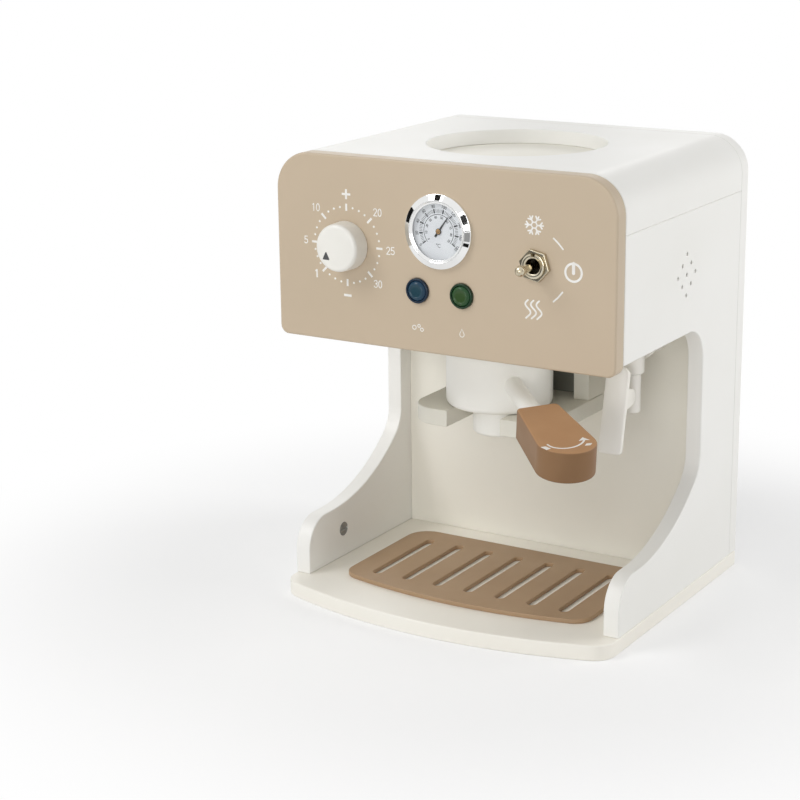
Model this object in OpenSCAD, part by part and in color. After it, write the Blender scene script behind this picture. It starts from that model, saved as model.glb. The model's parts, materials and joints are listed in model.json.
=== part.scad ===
// Toy coffee maker: a painted board body with a brewing group, a lever tap,
// a control panel, a sound unit and a lift-out drip tray.
// +Z is up and the front panel faces -Y. The origin is the middle of the base's underside.
// Distances called "from the face" run backwards from the front panel's face.

/* [Body] */
// Width over the front panel
body_w = 185; // [182:1:215]
// Height of the body
body_h = 230; // [206:1:260]
// Depth from the front panel's face to the back
body_d = 151.8; // [148:0.1:180]
// Radius of the top corners of panel, cover and back board
corner_r = 18.5; // [10:0.5:22]

/* [Base] */
// Thickness of the base board
base_t = 8; // [6:0.1:10]
// How far the bowed base reaches in front of the panel's face
base_nose = 19; // [12:0.5:26]
// Radius of the base board's bowed front edge
base_bow_r = 262; // [240:1:340]
// Radius of the base board's front corners
base_corner_r = 12; // [6:0.5:16]

/* [Side panels] */
// Thickness of the side panels
side_t = 8.3; // [7.5:0.1:10]
// Height of the head, from the side panels' lower edge there to the top
head_h = 88; // [80:0.5:90]
// Height of the feet of the side panels
foot_top = 36.5; // [33:0.5:42]
// Radius of the front corner of each foot
foot_r = 16; // [8:0.5:20]
// Flat length behind the foot's corner, before the sweep rises
foot_flat = 3.4; // [1:0.2:6]
// Radius of the long sweep between foot and column
sweep_r = 100; // [92:1:110]
// Radius where the sweep runs into the column
sweep_fillet_r = 18; // [12:0.5:24]
// Radius where the column runs into the head
head_fillet_r = 17; // [12:0.5:20]
// Distance of the column's front edge from the face
column_from_face = 100.5; // [96:0.5:104]
// Height of the top cover, from its seam with the side panels to the top
cover_h = 27.3; // [24:0.1:30]

/* [Boards] */
// Thickness of the front panel
panel_t = 8.6; // [7:0.1:10]
// Height of the front panel
panel_h = 92; // [89:0.5:94]
// Radius of the front panel's lower corners
panel_foot_r = 4.5; // [2:0.1:8]
// Thickness of the back board
back_t = 8.6; // [7:0.1:10]
// Thickness of the top cover's flat top
cover_t = 7.5; // [6:0.1:9]
// Thickness of the boards inside the body
inner_t = 6; // [5:0.1:8]
// Distance of the partition's front behind the column's front edge
partition_inset = 10.1; // [6:0.1:14]
// Radius of the round well in the top
well_r = 45; // [38:0.5:48]
// Distance of the well's centre from the face
well_from_face = 76.5; // [70:0.5:82]

/* [Brewing group] */
// Distance of the brewing axis from the face
brew_from_face = 59; // [56:0.5:62]
// Distance of the fork's top below the head
fork_drop = 41.7; // [41:0.1:45]
// Thickness of the fork
fork_t = 8.6; // [7:0.1:10]
// Width of the fork
fork_w = 77.4; // [72:0.2:84]
// Distance of the fork's tips from the face
fork_from_face = 31.5; // [28:0.5:34]
// Radius of the fork's outer corners
fork_corner_r = 16; // [9:0.5:18]
// Clearance round the spout boss in the fork's slot
slot_play = 1.5; // [0.5:0.1:2]
// Thickness of the posts that carry the fork
post_t = 8.4; // [7:0.1:10]
// Distance of the posts' outer sides inside the fork's sides
post_inset = 0.4; // [0:0.1:2]
// Distance of the posts' front edge from the face
post_from_face = 82.5; // [80:0.5:90]
// Radius of the portafilter cup
cup_r = 27; // [25:0.5:28]
// Height of the portafilter cup
cup_h = 32.5; // [31:0.1:34]
// Wall of the portafilter cup
cup_wall = 4.5; // [3:0.1:6]
// Depth of the hollow in the cup
cup_depth = 9.5; // [8:0.1:9.8]
// Radius of the cup's lower edge
cup_edge_r = 2.5; // [1:0.1:4]
// Radius of the spout boss
spout_r = 13.5; // [11:0.1:14]
// Height of the spout boss
spout_h = 15.4; // [12:0.1:17]
// Radius of the tenon that joins the boss to the cup
tenon_r = 4; // [3:0.1:5]
// Radius of the brewing head
head_r = 30; // [28:0.5:33]

/* [Portafilter handle] */
// Turn of the handle from straight ahead towards +X, in degrees
handle_turn = 44; // [30:1:50]
// Droop of the handle below level, in degrees
handle_droop = 7; // [4:0.5:9]
// Height of the stem's axis above the cup's underside, at the brewing axis
stem_rise = 18.6; // [17:0.1:20]
// Radius of the stem
stem_r = 4.7; // [3.5:0.1:5]
// Distance of the handle's near end from the brewing axis
handle_near = 70.7; // [62:0.1:80]
// Distance of the centre of the handle's round end from its near end
handle_run = 42.5; // [34:0.5:50]
// Radius of the handle's round end
handle_end_r = 14.2; // [12:0.1:16]
// Width of the handle at its near end
handle_w = 22.3; // [18:0.1:24]
// Thickness of the handle
handle_t = 13.9; // [11:0.1:16]

/* [Tap] */
// Distance of the tap from the body's right side
tap_inset = 31.5; // [29:0.5:36]
// Distance of the outlet tube's axis in front of the partition
tap_reach = 25.6; // [22:0.2:28]
// Distance of the barrel's axis below the head
tap_drop = 10.5; // [10:0.1:13]
// Radius of the mounting flange
flange_r = 8.4; // [8:0.1:11]
// Thickness of the mounting flange
flange_t = 4; // [2:0.1:6]
// Radius of the ring round the tap's barrel
ring_r = 8.8; // [8:0.1:9.6]
// Distance of the ring behind the outlet tube's axis
ring_back = 7; // [6:0.5:10]
// Width of the ring
ring_w = 2.5; // [1.5:0.1:4]
// Radius of the barrel
barrel_r = 7.5; // [6.6:0.1:8]
// Radius of the threaded shank
shank_r = 5; // [4:0.1:5.5]
// Radius of the outlet's collar
collar_r = 6.2; // [5.4:0.1:6.8]
// Length of the collar below the barrel's axis
collar_len = 14.1; // [11:0.1:16]
// Radius of the outlet tube
tube_r = 4.6; // [4:0.1:5.2]
// Length of the outlet tube below the collar
tube_len = 20; // [16:0.2:24]
// Width of the lever's paddle
paddle_w = 12.5; // [10:0.1:14]
// Thickness of the lever's paddle
paddle_t = 4; // [3:0.1:5]
// Length of the paddle above the lever's pin
paddle_up = 16; // [13:0.5:17]
// Length of the paddle below the lever's pin
paddle_down = 27.5; // [22:0.5:32]
// Lean of the paddle, its foot forward, in degrees
paddle_lean = 12; // [8:1:16]
// Distance of the paddle's middle in front of the pin
paddle_ahead = 9.3; // [8.5:0.1:11]
// Radius of the lug round the lever's pin
lug_r = 4.5; // [4.2:0.1:5]
// Width of the lug
lug_w = 9; // [8:0.1:10]
// Thickness of the tube's tongue between the lug's cheeks
tongue_t = 3.2; // [2.4:0.1:4]
// Radius of the lever's pin
pin_r = 1; // [0.8:0.1:1.4]

/* [Knob] */
// Distance of the knob from the panel's left edge
knob_inset = 40.5; // [36:0.5:44]
// Distance of the knob's axis below the top
knob_drop = 43.5; // [40:0.5:47]
// Radius of the knob's back
knob_r = 12; // [10:0.1:14]
// How far the knob stands out
knob_out = 10.3; // [8:0.1:13]
// Radius of the knob's spindle
spindle_r = 3; // [2.5:0.1:4]

/* [Thermometer] */
// Distance of the thermometer's axis below the top
gauge_drop = 32; // [30:0.5:34]
// Radius of the chrome bezel
bezel_r = 18; // [17:0.1:20]
// How far the bezel stands out
bezel_out = 3.2; // [2.8:0.1:4]
// Radius of the bezel's window
window_r = 13.5; // [12:0.1:14]
// Radius of the thermometer's case
gauge_r = 15.6; // [15.2:0.1:16.5]
// Depth of the case behind the face
gauge_depth = 11; // [9:0.5:16]
// Length of the pointer
pointer_len = 8.8; // [6:0.1:11]
// Angle of the pointer at rest, clockwise from the top, in degrees
pointer_rest = 35; // [0:1:60]

/* [Buttons] */
// Distance of each button from the middle
button_x = 12.1; // [10:0.1:15]
// Distance of the buttons below the top
button_drop = 61.8; // [59:0.2:65]
// Radius of a button's rim
rim_r = 6.2; // [5.8:0.1:7]
// How far the rim stands out
rim_out = 1.5; // [1.2:0.1:2]
// Radius of a button's cap
cap_r = 4.6; // [4:0.1:4.7]
// Travel of a button
button_travel = 1.5; // [0.8:0.1:2]

/* [Toggle switch] */
// Distance of the toggle from the panel's right edge
toggle_inset = 41.3; // [36:0.1:44]
// Distance of the toggle's axis below the top
toggle_drop = 43.1; // [40:0.1:47]
// Width of the hex nut across its flats
nut_flats = 14; // [13.4:0.1:16]
// Thickness of the hex nut
nut_t = 2.2; // [1.8:0.1:3]
// Radius of the threaded bushing
bushing_r = 5.9; // [5:0.1:6.2]
// Distance of the ball's centre in front of the face
bat_out = 12.5; // [11:0.1:14]
// Radius of the bat lever's ball
bat_r = 2.4; // [2:0.1:3]

/* [Sound] */
// Distance of the loudspeaker's axis from the face
speaker_from_face = 77.7; // [74:0.1:82]
// Height of the loudspeaker's axis above the head's lower edge
speaker_rise = 30; // [28:0.5:34]
// Radius of the loudspeaker
speaker_r = 18; // [16:0.5:20]
// Distance between neighbouring holes in front of the loudspeaker
grille_pitch = 7.2; // [6:0.1:8]
// Radius of each hole
grille_hole_r = 1; // [0.8:0.1:1.4]
// Gap between the sound module's case and each post
module_gap = 1.9; // [0.5:0.1:6]
// Depth of the sound module's case
module_d = 18; // [14:0.5:20]
// Height of the sound module's case
module_h = 36; // [30:0.5:38]
// Wall of the plastic cases
case_wall = 1.5; // [1.2:0.1:2]

/* [Batteries] */
// Height of the battery case's middle
battery_z = 70; // [60:1:90]
// Radius of one cell
cell_r = 5.25; // [5:0.05:5.5]
// Length of one cell
cell_len = 44.5; // [44:0.1:46]
// Height of the battery case inside
battery_h = 48; // [46:0.5:56]
// Depth of the battery case
battery_d = 13.6; // [13:0.2:18]
// Thickness of the battery door
door_t = 2.5; // [2:0.1:3]

/* [Fastenings] */
// Distance of the front base bolts from the face
bolt_front = 41.3; // [36:0.1:46]
// Distance of the rear base bolts in front of the back board
bolt_rear = 18; // [12:0.5:24]
// Height of the barrel nuts
bolt_z = 23.1; // [19:0.1:26]
// Radius of the base bolts
bolt_r = 2; // [1.5:0.1:2.5]
// Radius of the barrel nuts
barrel_nut_r = 3.7; // [3.4:0.1:4.5]
// Length of the barrel nuts
barrel_nut_len = 6.8; // [6.2:0.1:7]
// Radius of the panel dowels
dowel_r = 2.5; // [2:0.1:3]

/* [Drip tray] */
// Width of the drip tray
tray_w = 139.6; // [120:0.2:150]
// Depth of the drip tray
tray_d = 86; // [75:1:90]
// Thickness of the drip tray
tray_t = 2.4; // [1.8:0.1:5]
// Distance of the tray's front behind the panel's face
tray_from_face = 7; // [5:0.5:12]
// How far the loose tray lies to the right of the middle
tray_x = 1.3; // [-3:0.1:3]
// Radius of the tray's bowed front edge
tray_bow_r = 260; // [230:1:340]
// Radius of the tray's front corners
tray_corner_r = 10; // [6:0.5:14]
// Radius of the tray's back corners
tray_back_r = 12; // [6:0.5:16]
// Distance of the slots behind the tray's front
slot_inset = 15; // [12:0.5:17]
// Distance between the slots
slot_pitch = 18; // [15:0.5:19]
// Width of one slot
slot_w = 5; // [3:0.1:7]
// Length of one slot
slot_len = 58; // [44:1:60]

/* [Hidden] */

$fn = 96;
overcut = 1;        // how far a cut runs past the face that it opens
shaft_play = 0.06;  // radial play of shafts, bolts and dowels in their holes
seat_play = 0.2;    // play of parts that rest on or turn against each other
thin_gap = 0.3;     // play of plastic parts in their openings

base_d = body_d + base_nose;
base_front = -base_d / 2;
back_y = base_d / 2;
face_y = base_front + base_nose;
head_y = face_y + panel_t;
side_back = back_y - back_t;
half_w = body_w / 2;
inner_half = half_w - side_t;
head_z = body_h - head_h;
panel_z = body_h - panel_h;
seam_z = body_h - cover_h;
column_y = face_y + column_from_face;
partition_y = column_y + partition_inset;
partition_back = partition_y + inner_t;
well_floor_z = body_h - cover_t;
brew_y = face_y + brew_from_face;
fork_z = head_z - fork_drop;
cup_z = fork_z + seat_play;
cup_top = cup_z + cup_h;
stem_z = cup_z + stem_rise;
stem_inner = 12;                                 // where the stem ends inside the cup
stem_grip = 14;                                  // how far the stem reaches into the handle
tap_x = half_w - tap_inset;
tap_y = partition_y - tap_reach;
tap_z = head_z - tap_drop;
collar_z = tap_z - collar_len;
tube_z = collar_z - tube_len;
pin_below_collar = 10.9;
lug_gap = 0.4;                                   // play between lug and outlet tube
pin_y = tap_y - tube_r - lug_r - lug_gap;
pin_z = collar_z - pin_below_collar;
gauge_z = body_h - gauge_drop;
knob_x = half_w - knob_inset;
knob_z = body_h - knob_drop;
button_z = body_h - button_drop;
toggle_x = half_w - toggle_inset;
toggle_z = body_h - toggle_drop;
speaker_z = head_z + speaker_rise;
module_w = fork_w - 2 * (post_inset + post_t + module_gap);
bolt_x = half_w - side_t / 2;
rear_bolt_y = side_back - bolt_rear;
cell_end = 2.5;                                  // room for a contact at each end of the cells
battery_case_w = cell_len + 2 * (cell_end + case_wall);
battery_case_h = battery_h + 2 * case_wall;
battery_y = back_y - door_t - battery_d;

// Points of an arc about (cx, cy) from one angle to another
function arc(cx, cy, r, from, to, steps = 16) =
    [for (i = [0 : steps]) let (a = from + (to - from) * i / steps)
        [cx + r * cos(a), cy + r * sin(a)]];

// A flat outline drawn in X and Z, as a board of thickness t behind the plane y
module upright(y, t) translate([0, y + t, 0]) rotate([90, 0, 0]) linear_extrude(t) children();

// A flat outline drawn in Y and Z, as a board of thickness t to the right of the plane x
module sideways(x, t) translate([x, 0, 0]) rotate([90, 0, 90]) linear_extrude(t) children();

// Round rods along the three axes
module rod_x(r, x0, x1, y, z) translate([x0, y, z]) rotate([0, 90, 0]) cylinder(r = r, h = x1 - x0);
module rod_y(r, y0, y1, x, z) translate([x, y0, z]) rotate([-90, 0, 0]) cylinder(r = r, h = y1 - y0);
module rod_z(r, z0, z1, x, y) translate([x, y, z0]) cylinder(r = r, h = z1 - z0);

// A turned shape on an axis that points out of the front panel at (x, z):
// its outline is drawn with the radius along X and the distance out of the face along Y
module turned_out(x, z)
    translate([x, face_y, z]) rotate([90, 0, 0]) rotate_extrude() children();

// A plate in X and Z with rounded upper and lower corners
module plate(z0, r_low, r_top = corner_r)
    polygon(concat(
        arc(half_w - r_low, z0 + r_low, r_low, -90, 0, 8),
        arc(half_w - r_top, body_h - r_top, r_top, 0, 90),
        arc(-half_w + r_top, body_h - r_top, r_top, 90, 180),
        arc(-half_w + r_low, z0 + r_low, r_low, 180, 270, 8)));

// A board in X and Y whose front edge is bowed and whose corners are round
module bowed_board(w, y_front, y_back, bow_r, r_front, r_back, z, t) {
    xc = w / 2 - r_front;
    bow_y = y_front + bow_r;
    yc = bow_y - sqrt(pow(bow_r - r_front, 2) - xc * xc);
    turn = atan2(yc - bow_y, xc);
    back = r_back > 0
        ? concat(arc(-w / 2 + r_back, y_back - r_back, r_back, 180, 90, 8),
                 arc(w / 2 - r_back, y_back - r_back, r_back, 90, 0, 8))
        : [[-w / 2, y_back], [w / 2, y_back]];
    translate([0, 0, z]) linear_extrude(t) polygon(concat(
        back,
        arc(xc, yc, r_front, 0, turn, 8),
        arc(0, bow_y, bow_r, turn, -180 - turn, 32),
        arc(-xc, yc, r_front, -180 - turn, -180, 8)));
}

// ---------- Base ----------

// Runs its children at each base bolt
module at_bolts()
    for (side = [-1, 1], y = [face_y + bolt_front, rear_bolt_y])
        translate([side * bolt_x, y, 0]) children();

bolt_head_r = bolt_r * 1.6;
bolt_head_h = 2.6;
bolt_sink = 0.5;   // how deep the bolt heads sit below the underside

module base_board() color("#f4f2ec") difference() {
    bowed_board(body_w, base_front, back_y, base_bow_r, base_corner_r, 0, 0, base_t);
    at_bolts() {
        translate([0, 0, -overcut]) cylinder(r = bolt_r + shaft_play, h = base_t + 2 * overcut);
        translate([0, 0, -overcut])
            cylinder(r = bolt_head_r + shaft_play, h = overcut + bolt_sink + bolt_head_h);
    }
}

bolt_end = bolt_z + barrel_nut_r + 1;

module base_bolts() color("#b9bbbd") at_bolts() difference() {
    union() {
        translate([0, 0, bolt_sink]) cylinder(r = bolt_head_r, h = bolt_head_h);
        translate([0, 0, bolt_sink]) cylinder(r = bolt_r, h = bolt_end - bolt_sink);
    }
    translate([0, 0, bolt_sink - overcut]) cylinder(r = bolt_r * 0.7, h = overcut + 1.6, $fn = 6);
}

module barrel_nuts() color("#a9aaab")
    for (side = [-1, 1], y = [face_y + bolt_front, rear_bolt_y])
        mirror([side < 0 ? 1 : 0, 0, 0]) difference() {
            rod_x(barrel_nut_r, inner_half, inner_half + barrel_nut_len, y, bolt_z);
            rod_z(bolt_r + shaft_play / 2, bolt_z - 2 * barrel_nut_r, bolt_z + 2 * barrel_nut_r,
                  bolt_x, y);
            translate([inner_half - overcut, y - barrel_nut_r, bolt_z - 0.5])
                cube([overcut + 0.8, 2 * barrel_nut_r, 1]);
        }

// ---------- Body boards ----------

sweep_y = head_y + foot_r + foot_flat;
sweep_z = foot_top + sweep_r;
fillet_y = column_y - sweep_fillet_r;
fillet_z = sweep_z - sqrt(pow(sweep_r - sweep_fillet_r, 2) - pow(fillet_y - sweep_y, 2));
sweep_end = atan2(fillet_z - sweep_z, fillet_y - sweep_y);

module side_outline() polygon(concat(
    [[head_y, base_t], [side_back, base_t], [side_back, seam_z], [head_y, seam_z]],
    [[head_y, head_z]],
    arc(column_y - head_fillet_r, head_z - head_fillet_r, head_fillet_r, 90, 0),
    arc(fillet_y, fillet_z, sweep_fillet_r, 0, sweep_end),
    arc(sweep_y, sweep_z, sweep_r, sweep_end, -90, 28),
    arc(head_y + foot_r, foot_top - foot_r, foot_r, 90, 180)));

dowel_len = 18;
dowel_in_panel = 6;
dowel_inset = 10;    // distance of the dowels from the ends of the head's side boards
dowel_z = [head_z + dowel_inset, seam_z - dowel_inset];

// Holes for the dowels that hold the panel, on both sides
module panel_dowel_rods(r, extra)
    for (side = [-1, 1], z = dowel_z)
        rod_y(r, head_y - dowel_in_panel - extra, head_y + dowel_len - dowel_in_panel + extra,
              side * bolt_x, z);

module panel_dowels() color("#d9bd92") panel_dowel_rods(dowel_r, 0);

module side_panel() difference() {
    sideways(inner_half, side_t) side_outline();
    for (y = [face_y + bolt_front, rear_bolt_y]) {
        rod_z(bolt_r + shaft_play, base_t - overcut, bolt_end + seat_play, bolt_x, y);
        rod_x(barrel_nut_r + shaft_play, inner_half - overcut,
              inner_half + barrel_nut_len + seat_play, y, bolt_z);
    }
    panel_dowel_rods(dowel_r + shaft_play, seat_play);
}

module side_left() color("#f4f2ec") mirror([1, 0, 0]) side_panel();

grille_step = grille_pitch / sqrt(2);

module side_right() color("#f4f2ec") difference() {
    side_panel();
    for (i = [-1 : 1], j = [-1 : 1])
        rod_x(grille_hole_r, inner_half - overcut, half_w + overcut,
              speaker_y + (i + j) * grille_step, speaker_z + (i - j) * grille_step);
    at_speaker_screws()
        rod_x(speaker_screw_r + shaft_play, inner_half - overcut, inner_half + screw_bite + seat_play,
              0, 0);
}

module partition() color("#f1eee6") difference() {
    translate([-inner_half, partition_y, base_t])
        cube([2 * inner_half, inner_t, well_floor_z - inner_t - base_t]);
    rod_y(shank_r + shaft_play, partition_y - overcut, partition_back + overcut, tap_x, tap_z);
}

module back_board() color("#f4f2ec") difference() {
    upright(side_back, back_t) polygon(concat(
        [[half_w, base_t]],
        arc(half_w - corner_r, body_h - corner_r, corner_r, 0, 90),
        arc(-half_w + corner_r, body_h - corner_r, corner_r, 90, 180),
        [[-half_w, base_t]]));
    translate([-battery_case_w / 2 - thin_gap, side_back - overcut,
               battery_z - battery_case_h / 2 - thin_gap])
        cube([battery_case_w + 2 * thin_gap, back_t + 2 * overcut, battery_case_h + 2 * thin_gap]);
}

module top_cover() color("#f4f2ec") difference() {
    upright(head_y, side_back - head_y) polygon(concat(
        [[half_w, seam_z]],
        arc(half_w - corner_r, body_h - corner_r, corner_r, 0, 90),
        arc(-half_w + corner_r, body_h - corner_r, corner_r, 90, 180),
        [[-half_w, seam_z], [-inner_half, seam_z], [-inner_half, well_floor_z],
         [inner_half, well_floor_z], [inner_half, seam_z]]));
    rod_z(well_r, well_floor_z - overcut, body_h + overcut, 0, face_y + well_from_face);
}

module well_floor() color("#efece4")
    translate([-inner_half, head_y, well_floor_z - inner_t])
        cube([2 * inner_half, side_back - head_y, inner_t]);

module housing_floor() color("#efece4")
    translate([-inner_half, head_y, head_z]) cube([2 * inner_half, partition_y - head_y, inner_t]);

module front_panel() color("#bfa58c") difference() {
    upright(face_y, panel_t) plate(panel_z, panel_foot_r);
    for (hole = [[gauge_r, 0, gauge_z], [spindle_r, -knob_x, knob_z],
                 [barrel_button_r, -button_x, button_z], [barrel_button_r, button_x, button_z],
                 [bushing_r, toggle_x, toggle_z]])
        rod_y(hole[0] + shaft_play, face_y - overcut, head_y + overcut, hole[1], hole[2]);
    for (side = [-1, 1], z = dowel_z)
        rod_y(dowel_r + shaft_play, head_y - dowel_in_panel - seat_play, head_y + overcut,
              side * bolt_x, z);
}

// ---------- Brewing group ----------

module fork_bracket() color("#ece9e2") difference() {
    translate([0, 0, fork_z - fork_t]) linear_extrude(fork_t) polygon(concat(
        [[fork_w / 2, partition_y], [-fork_w / 2, partition_y]],
        arc(-fork_w / 2 + fork_corner_r, face_y + fork_from_face + fork_corner_r, fork_corner_r,
            180, 270),
        arc(fork_w / 2 - fork_corner_r, face_y + fork_from_face + fork_corner_r, fork_corner_r,
            270, 360)));
    rod_z(spout_r + slot_play, fork_z - fork_t - overcut, fork_z + overcut, 0, brew_y);
    translate([-spout_r - slot_play, face_y + fork_from_face - overcut, fork_z - fork_t - overcut])
        cube([2 * (spout_r + slot_play), brew_from_face - fork_from_face + overcut,
              fork_t + 2 * overcut]);
}

module post()
    translate([fork_w / 2 - post_inset - post_t, face_y + post_from_face, fork_z])
        cube([post_t, partition_y - face_y - post_from_face, head_z - fork_z]);

module post_left() color("#ece9e2") mirror([1, 0, 0]) post();

module post_right() color("#ece9e2") post();

module brew_head() color("#efece4") difference() {
    translate([0, brew_y, 0]) rotate_extrude() polygon([
        [0, cup_top + seat_play], [head_r - 1, cup_top + seat_play],
        [head_r, cup_top + seat_play + 1], [head_r, head_z], [0, head_z]]);
    rod_z(cup_r - cup_wall - 3, cup_top - overcut, cup_top + 2, 0, brew_y);
}

// Runs its children with +Z along the stem, +Y up and the origin on the brewing axis
module along_stem() translate([0, brew_y, stem_z])
    rotate([0, 0, handle_turn]) rotate([90 + handle_droop, 0, 0]) children();

tenon_h = 8;
ring_edge = 0.6;
spout_edge_r = 2;

module portafilter_cup() color("#f6f4ef") difference() {
    translate([0, brew_y, cup_z]) rotate_extrude() polygon(concat(
        [[0, 0]],
        arc(cup_r - cup_edge_r, cup_edge_r, cup_edge_r, -90, 0, 6),
        [[cup_r, cup_h - cup_depth], [0, cup_h - cup_depth]]));
    along_stem() translate([0, 0, stem_inner - seat_play])
        cylinder(r = stem_r + shaft_play, h = cup_r + 10);
    rod_z(tenon_r + shaft_play, cup_z - overcut, cup_z + tenon_h + seat_play, 0, brew_y);
}

// Ring on top of the cup, the wall of its hollow
module filter_ring() color("#f6f4ef") translate([0, brew_y, cup_top - cup_depth])
    rotate_extrude() polygon([
        [cup_r - cup_wall, 0], [cup_r, 0], [cup_r, cup_depth - ring_edge],
        [cup_r - ring_edge, cup_depth], [cup_r - cup_wall, cup_depth]]);

module portafilter_spout() color("#f6f4ef") translate([0, brew_y, cup_z - spout_h])
    rotate_extrude() polygon(concat(
        [[0, 0]],
        arc(spout_r - spout_edge_r, spout_edge_r, spout_edge_r, -90, 0, 6),
        [[spout_r, spout_h], [tenon_r, spout_h], [tenon_r, spout_h + tenon_h],
         [0, spout_h + tenon_h]]));

module portafilter_stem() color("#f6f4ef") along_stem() translate([0, 0, stem_inner])
    cylinder(r = stem_r, h = handle_near + stem_grip - stem_inner);

handle_taper = asin((handle_end_r - handle_w / 2) / handle_run);
handle_back_r = 3;

module portafilter_handle() color("#8a5a38") along_stem() difference() {
    translate([0, handle_t / 2, 0]) rotate([90, 0, 0]) linear_extrude(handle_t) polygon(concat(
        arc(0, handle_near + handle_run, handle_end_r, -handle_taper, 180 + handle_taper, 24),
        arc(-handle_w / 2 + handle_back_r, handle_near + handle_back_r, handle_back_r, 180, 270, 6),
        arc(handle_w / 2 - handle_back_r, handle_near + handle_back_r, handle_back_r, 270, 360, 6)));
    translate([0, 0, handle_near - overcut])
        cylinder(r = stem_r + shaft_play, h = stem_grip + overcut + seat_play);
}

// ---------- Tap ----------

outlet_r = tube_r - 1.3;
tongue_r = lug_r - 0.8;

module tap_body() color("#f3f2ef") difference() {
    union() {
        rod_y(shank_r, partition_y - 0.1, partition_back + 8, tap_x, tap_z);
        rod_y(flange_r, partition_y - flange_t, partition_y, tap_x, tap_z);
        rod_y(barrel_r, tap_y, partition_y - flange_t / 2, tap_x, tap_z);
        rod_y(ring_r, tap_y + ring_back, tap_y + ring_back + ring_w, tap_x, tap_z);
        translate([tap_x, tap_y, tap_z]) sphere(r = barrel_r);
        translate([tap_x, tap_y, 0]) rotate_extrude() polygon([
            [0, tube_z], [tube_r - 0.4, tube_z], [tube_r, tube_z + 0.4], [tube_r, collar_z],
            [collar_r - 0.8, collar_z], [collar_r, collar_z + 0.8], [collar_r, tap_z], [0, tap_z]]);
        translate([tap_x - tongue_t / 2, pin_y, pin_z - tongue_r])
            cube([tongue_t, tap_y - pin_y - outlet_r, 2 * tongue_r]);
        rod_x(tongue_r, tap_x - tongue_t / 2, tap_x + tongue_t / 2, pin_y, pin_z);
    }
    rod_z(outlet_r, tube_z - overcut, collar_z, tap_x, tap_y);
    rod_x(pin_r + shaft_play, tap_x - lug_w, tap_x + lug_w, pin_y, pin_z);
}

tap_nut_t = 5;

module tap_nut() color("#e4e2dd") difference() {
    rod_y_hex(shank_r * 1.75, partition_back, partition_back + tap_nut_t, tap_x, tap_z);
    rod_y(shank_r + shaft_play, partition_back - overcut, partition_back + tap_nut_t + overcut,
          tap_x, tap_z);
}

// A hexagonal rod along Y
module rod_y_hex(r, y0, y1, x, z)
    translate([x, y0, z]) rotate([-90, 0, 0]) cylinder(r = r, h = y1 - y0, $fn = 6);

paddle_back = -paddle_ahead + paddle_t / 2;
cheek_gap = tongue_t / 2 + seat_play;
paddle_bow_r = 16;   // radius of the paddle's rounded front

module tap_lever() color("#f3f2ef")
    translate([tap_x, pin_y, pin_z]) rotate([-paddle_lean, 0, 0]) difference() {
        union() {
            intersection() {
                translate([0, -paddle_ahead - paddle_t / 2 + paddle_bow_r, -paddle_down])
                    cylinder(r = paddle_bow_r, h = paddle_up + paddle_down);
                translate([0, paddle_back, 0]) rotate([90, 0, 0]) linear_extrude(paddle_t)
                    polygon(concat(
                        arc(paddle_w / 2 - 4, paddle_up - 4, 4, 0, 90, 8),
                        arc(-paddle_w / 2 + 4, paddle_up - 4, 4, 90, 180, 8),
                        arc(-paddle_w / 2 + 2, -paddle_down + 2, 2, 180, 270, 6),
                        arc(paddle_w / 2 - 2, -paddle_down + 2, 2, 270, 360, 6)));
            }
            translate([-lug_w / 2, 0, 0]) rotate([90, 0, 90]) linear_extrude(lug_w) union() {
                circle(r = lug_r);
                polygon([[paddle_back - 0.5, lug_r], [0, lug_r],
                         [lug_r * cos(60), -lug_r * sin(60)], [paddle_back - 0.5, -2.1 * lug_r]]);
            }
        }
        translate([-cheek_gap, -tongue_r - 0.9, -3 * lug_r])
            cube([2 * cheek_gap, 3 * lug_r, 6 * lug_r]);
        rod_x(pin_r + shaft_play / 2, -lug_w, lug_w, 0, 0);
    }

module tap_pin() color("#c8cacc") rod_x(pin_r, tap_x - lug_w / 2, tap_x + lug_w / 2, pin_y, pin_z);

// ---------- Knob ----------

knob_grip = 7;      // depth of the spindle's hole in the knob
washer_t = 1.2;
screw_r = 1.2;

module timer_knob() color("#f1efe9") difference() {
    turned_out(-knob_x, knob_z) polygon(concat(
        [[0, seat_play], [knob_r, seat_play]],
        arc(knob_r - 0.6 - 1.8, knob_out - 1.8, 1.8, 0, 90, 6),
        [[0, knob_out]]));
    rod_y(spindle_r + shaft_play / 2, face_y - knob_grip - seat_play, face_y + overcut,
          -knob_x, knob_z);
}

module knob_spindle() color("#d9bd92") difference() {
    rod_y(spindle_r, face_y - knob_grip, head_y + seat_play, -knob_x, knob_z);
    rod_y(screw_r + shaft_play, head_y - 8, head_y + seat_play + overcut, -knob_x, knob_z);
}

module knob_washer() color("#b9bbbd") difference() {
    rod_y(spindle_r * 2, head_y + seat_play, head_y + seat_play + washer_t, -knob_x, knob_z);
    rod_y(screw_r + shaft_play, head_y, head_y + 2 * washer_t, -knob_x, knob_z);
}

module knob_screw() color("#8f9193") {
    rod_y(screw_r, head_y - 7.5, head_y + seat_play + washer_t + 0.5, -knob_x, knob_z);
    rod_y(screw_r * 2.2, head_y + seat_play + washer_t, head_y + seat_play + washer_t + 1.6,
          -knob_x, knob_z);
}

// ---------- Thermometer ----------

glass_t = 0.6;
glass_out = bezel_out - 1.8;       // inner face of the glass
dial_t = 0.4;
hub_r = 1.2;
shaft_r = 0.6;
pointer_t = 0.25;
pocket_r = gauge_r - 1.2;
case_bore_r = pocket_r - 1.6;

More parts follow.
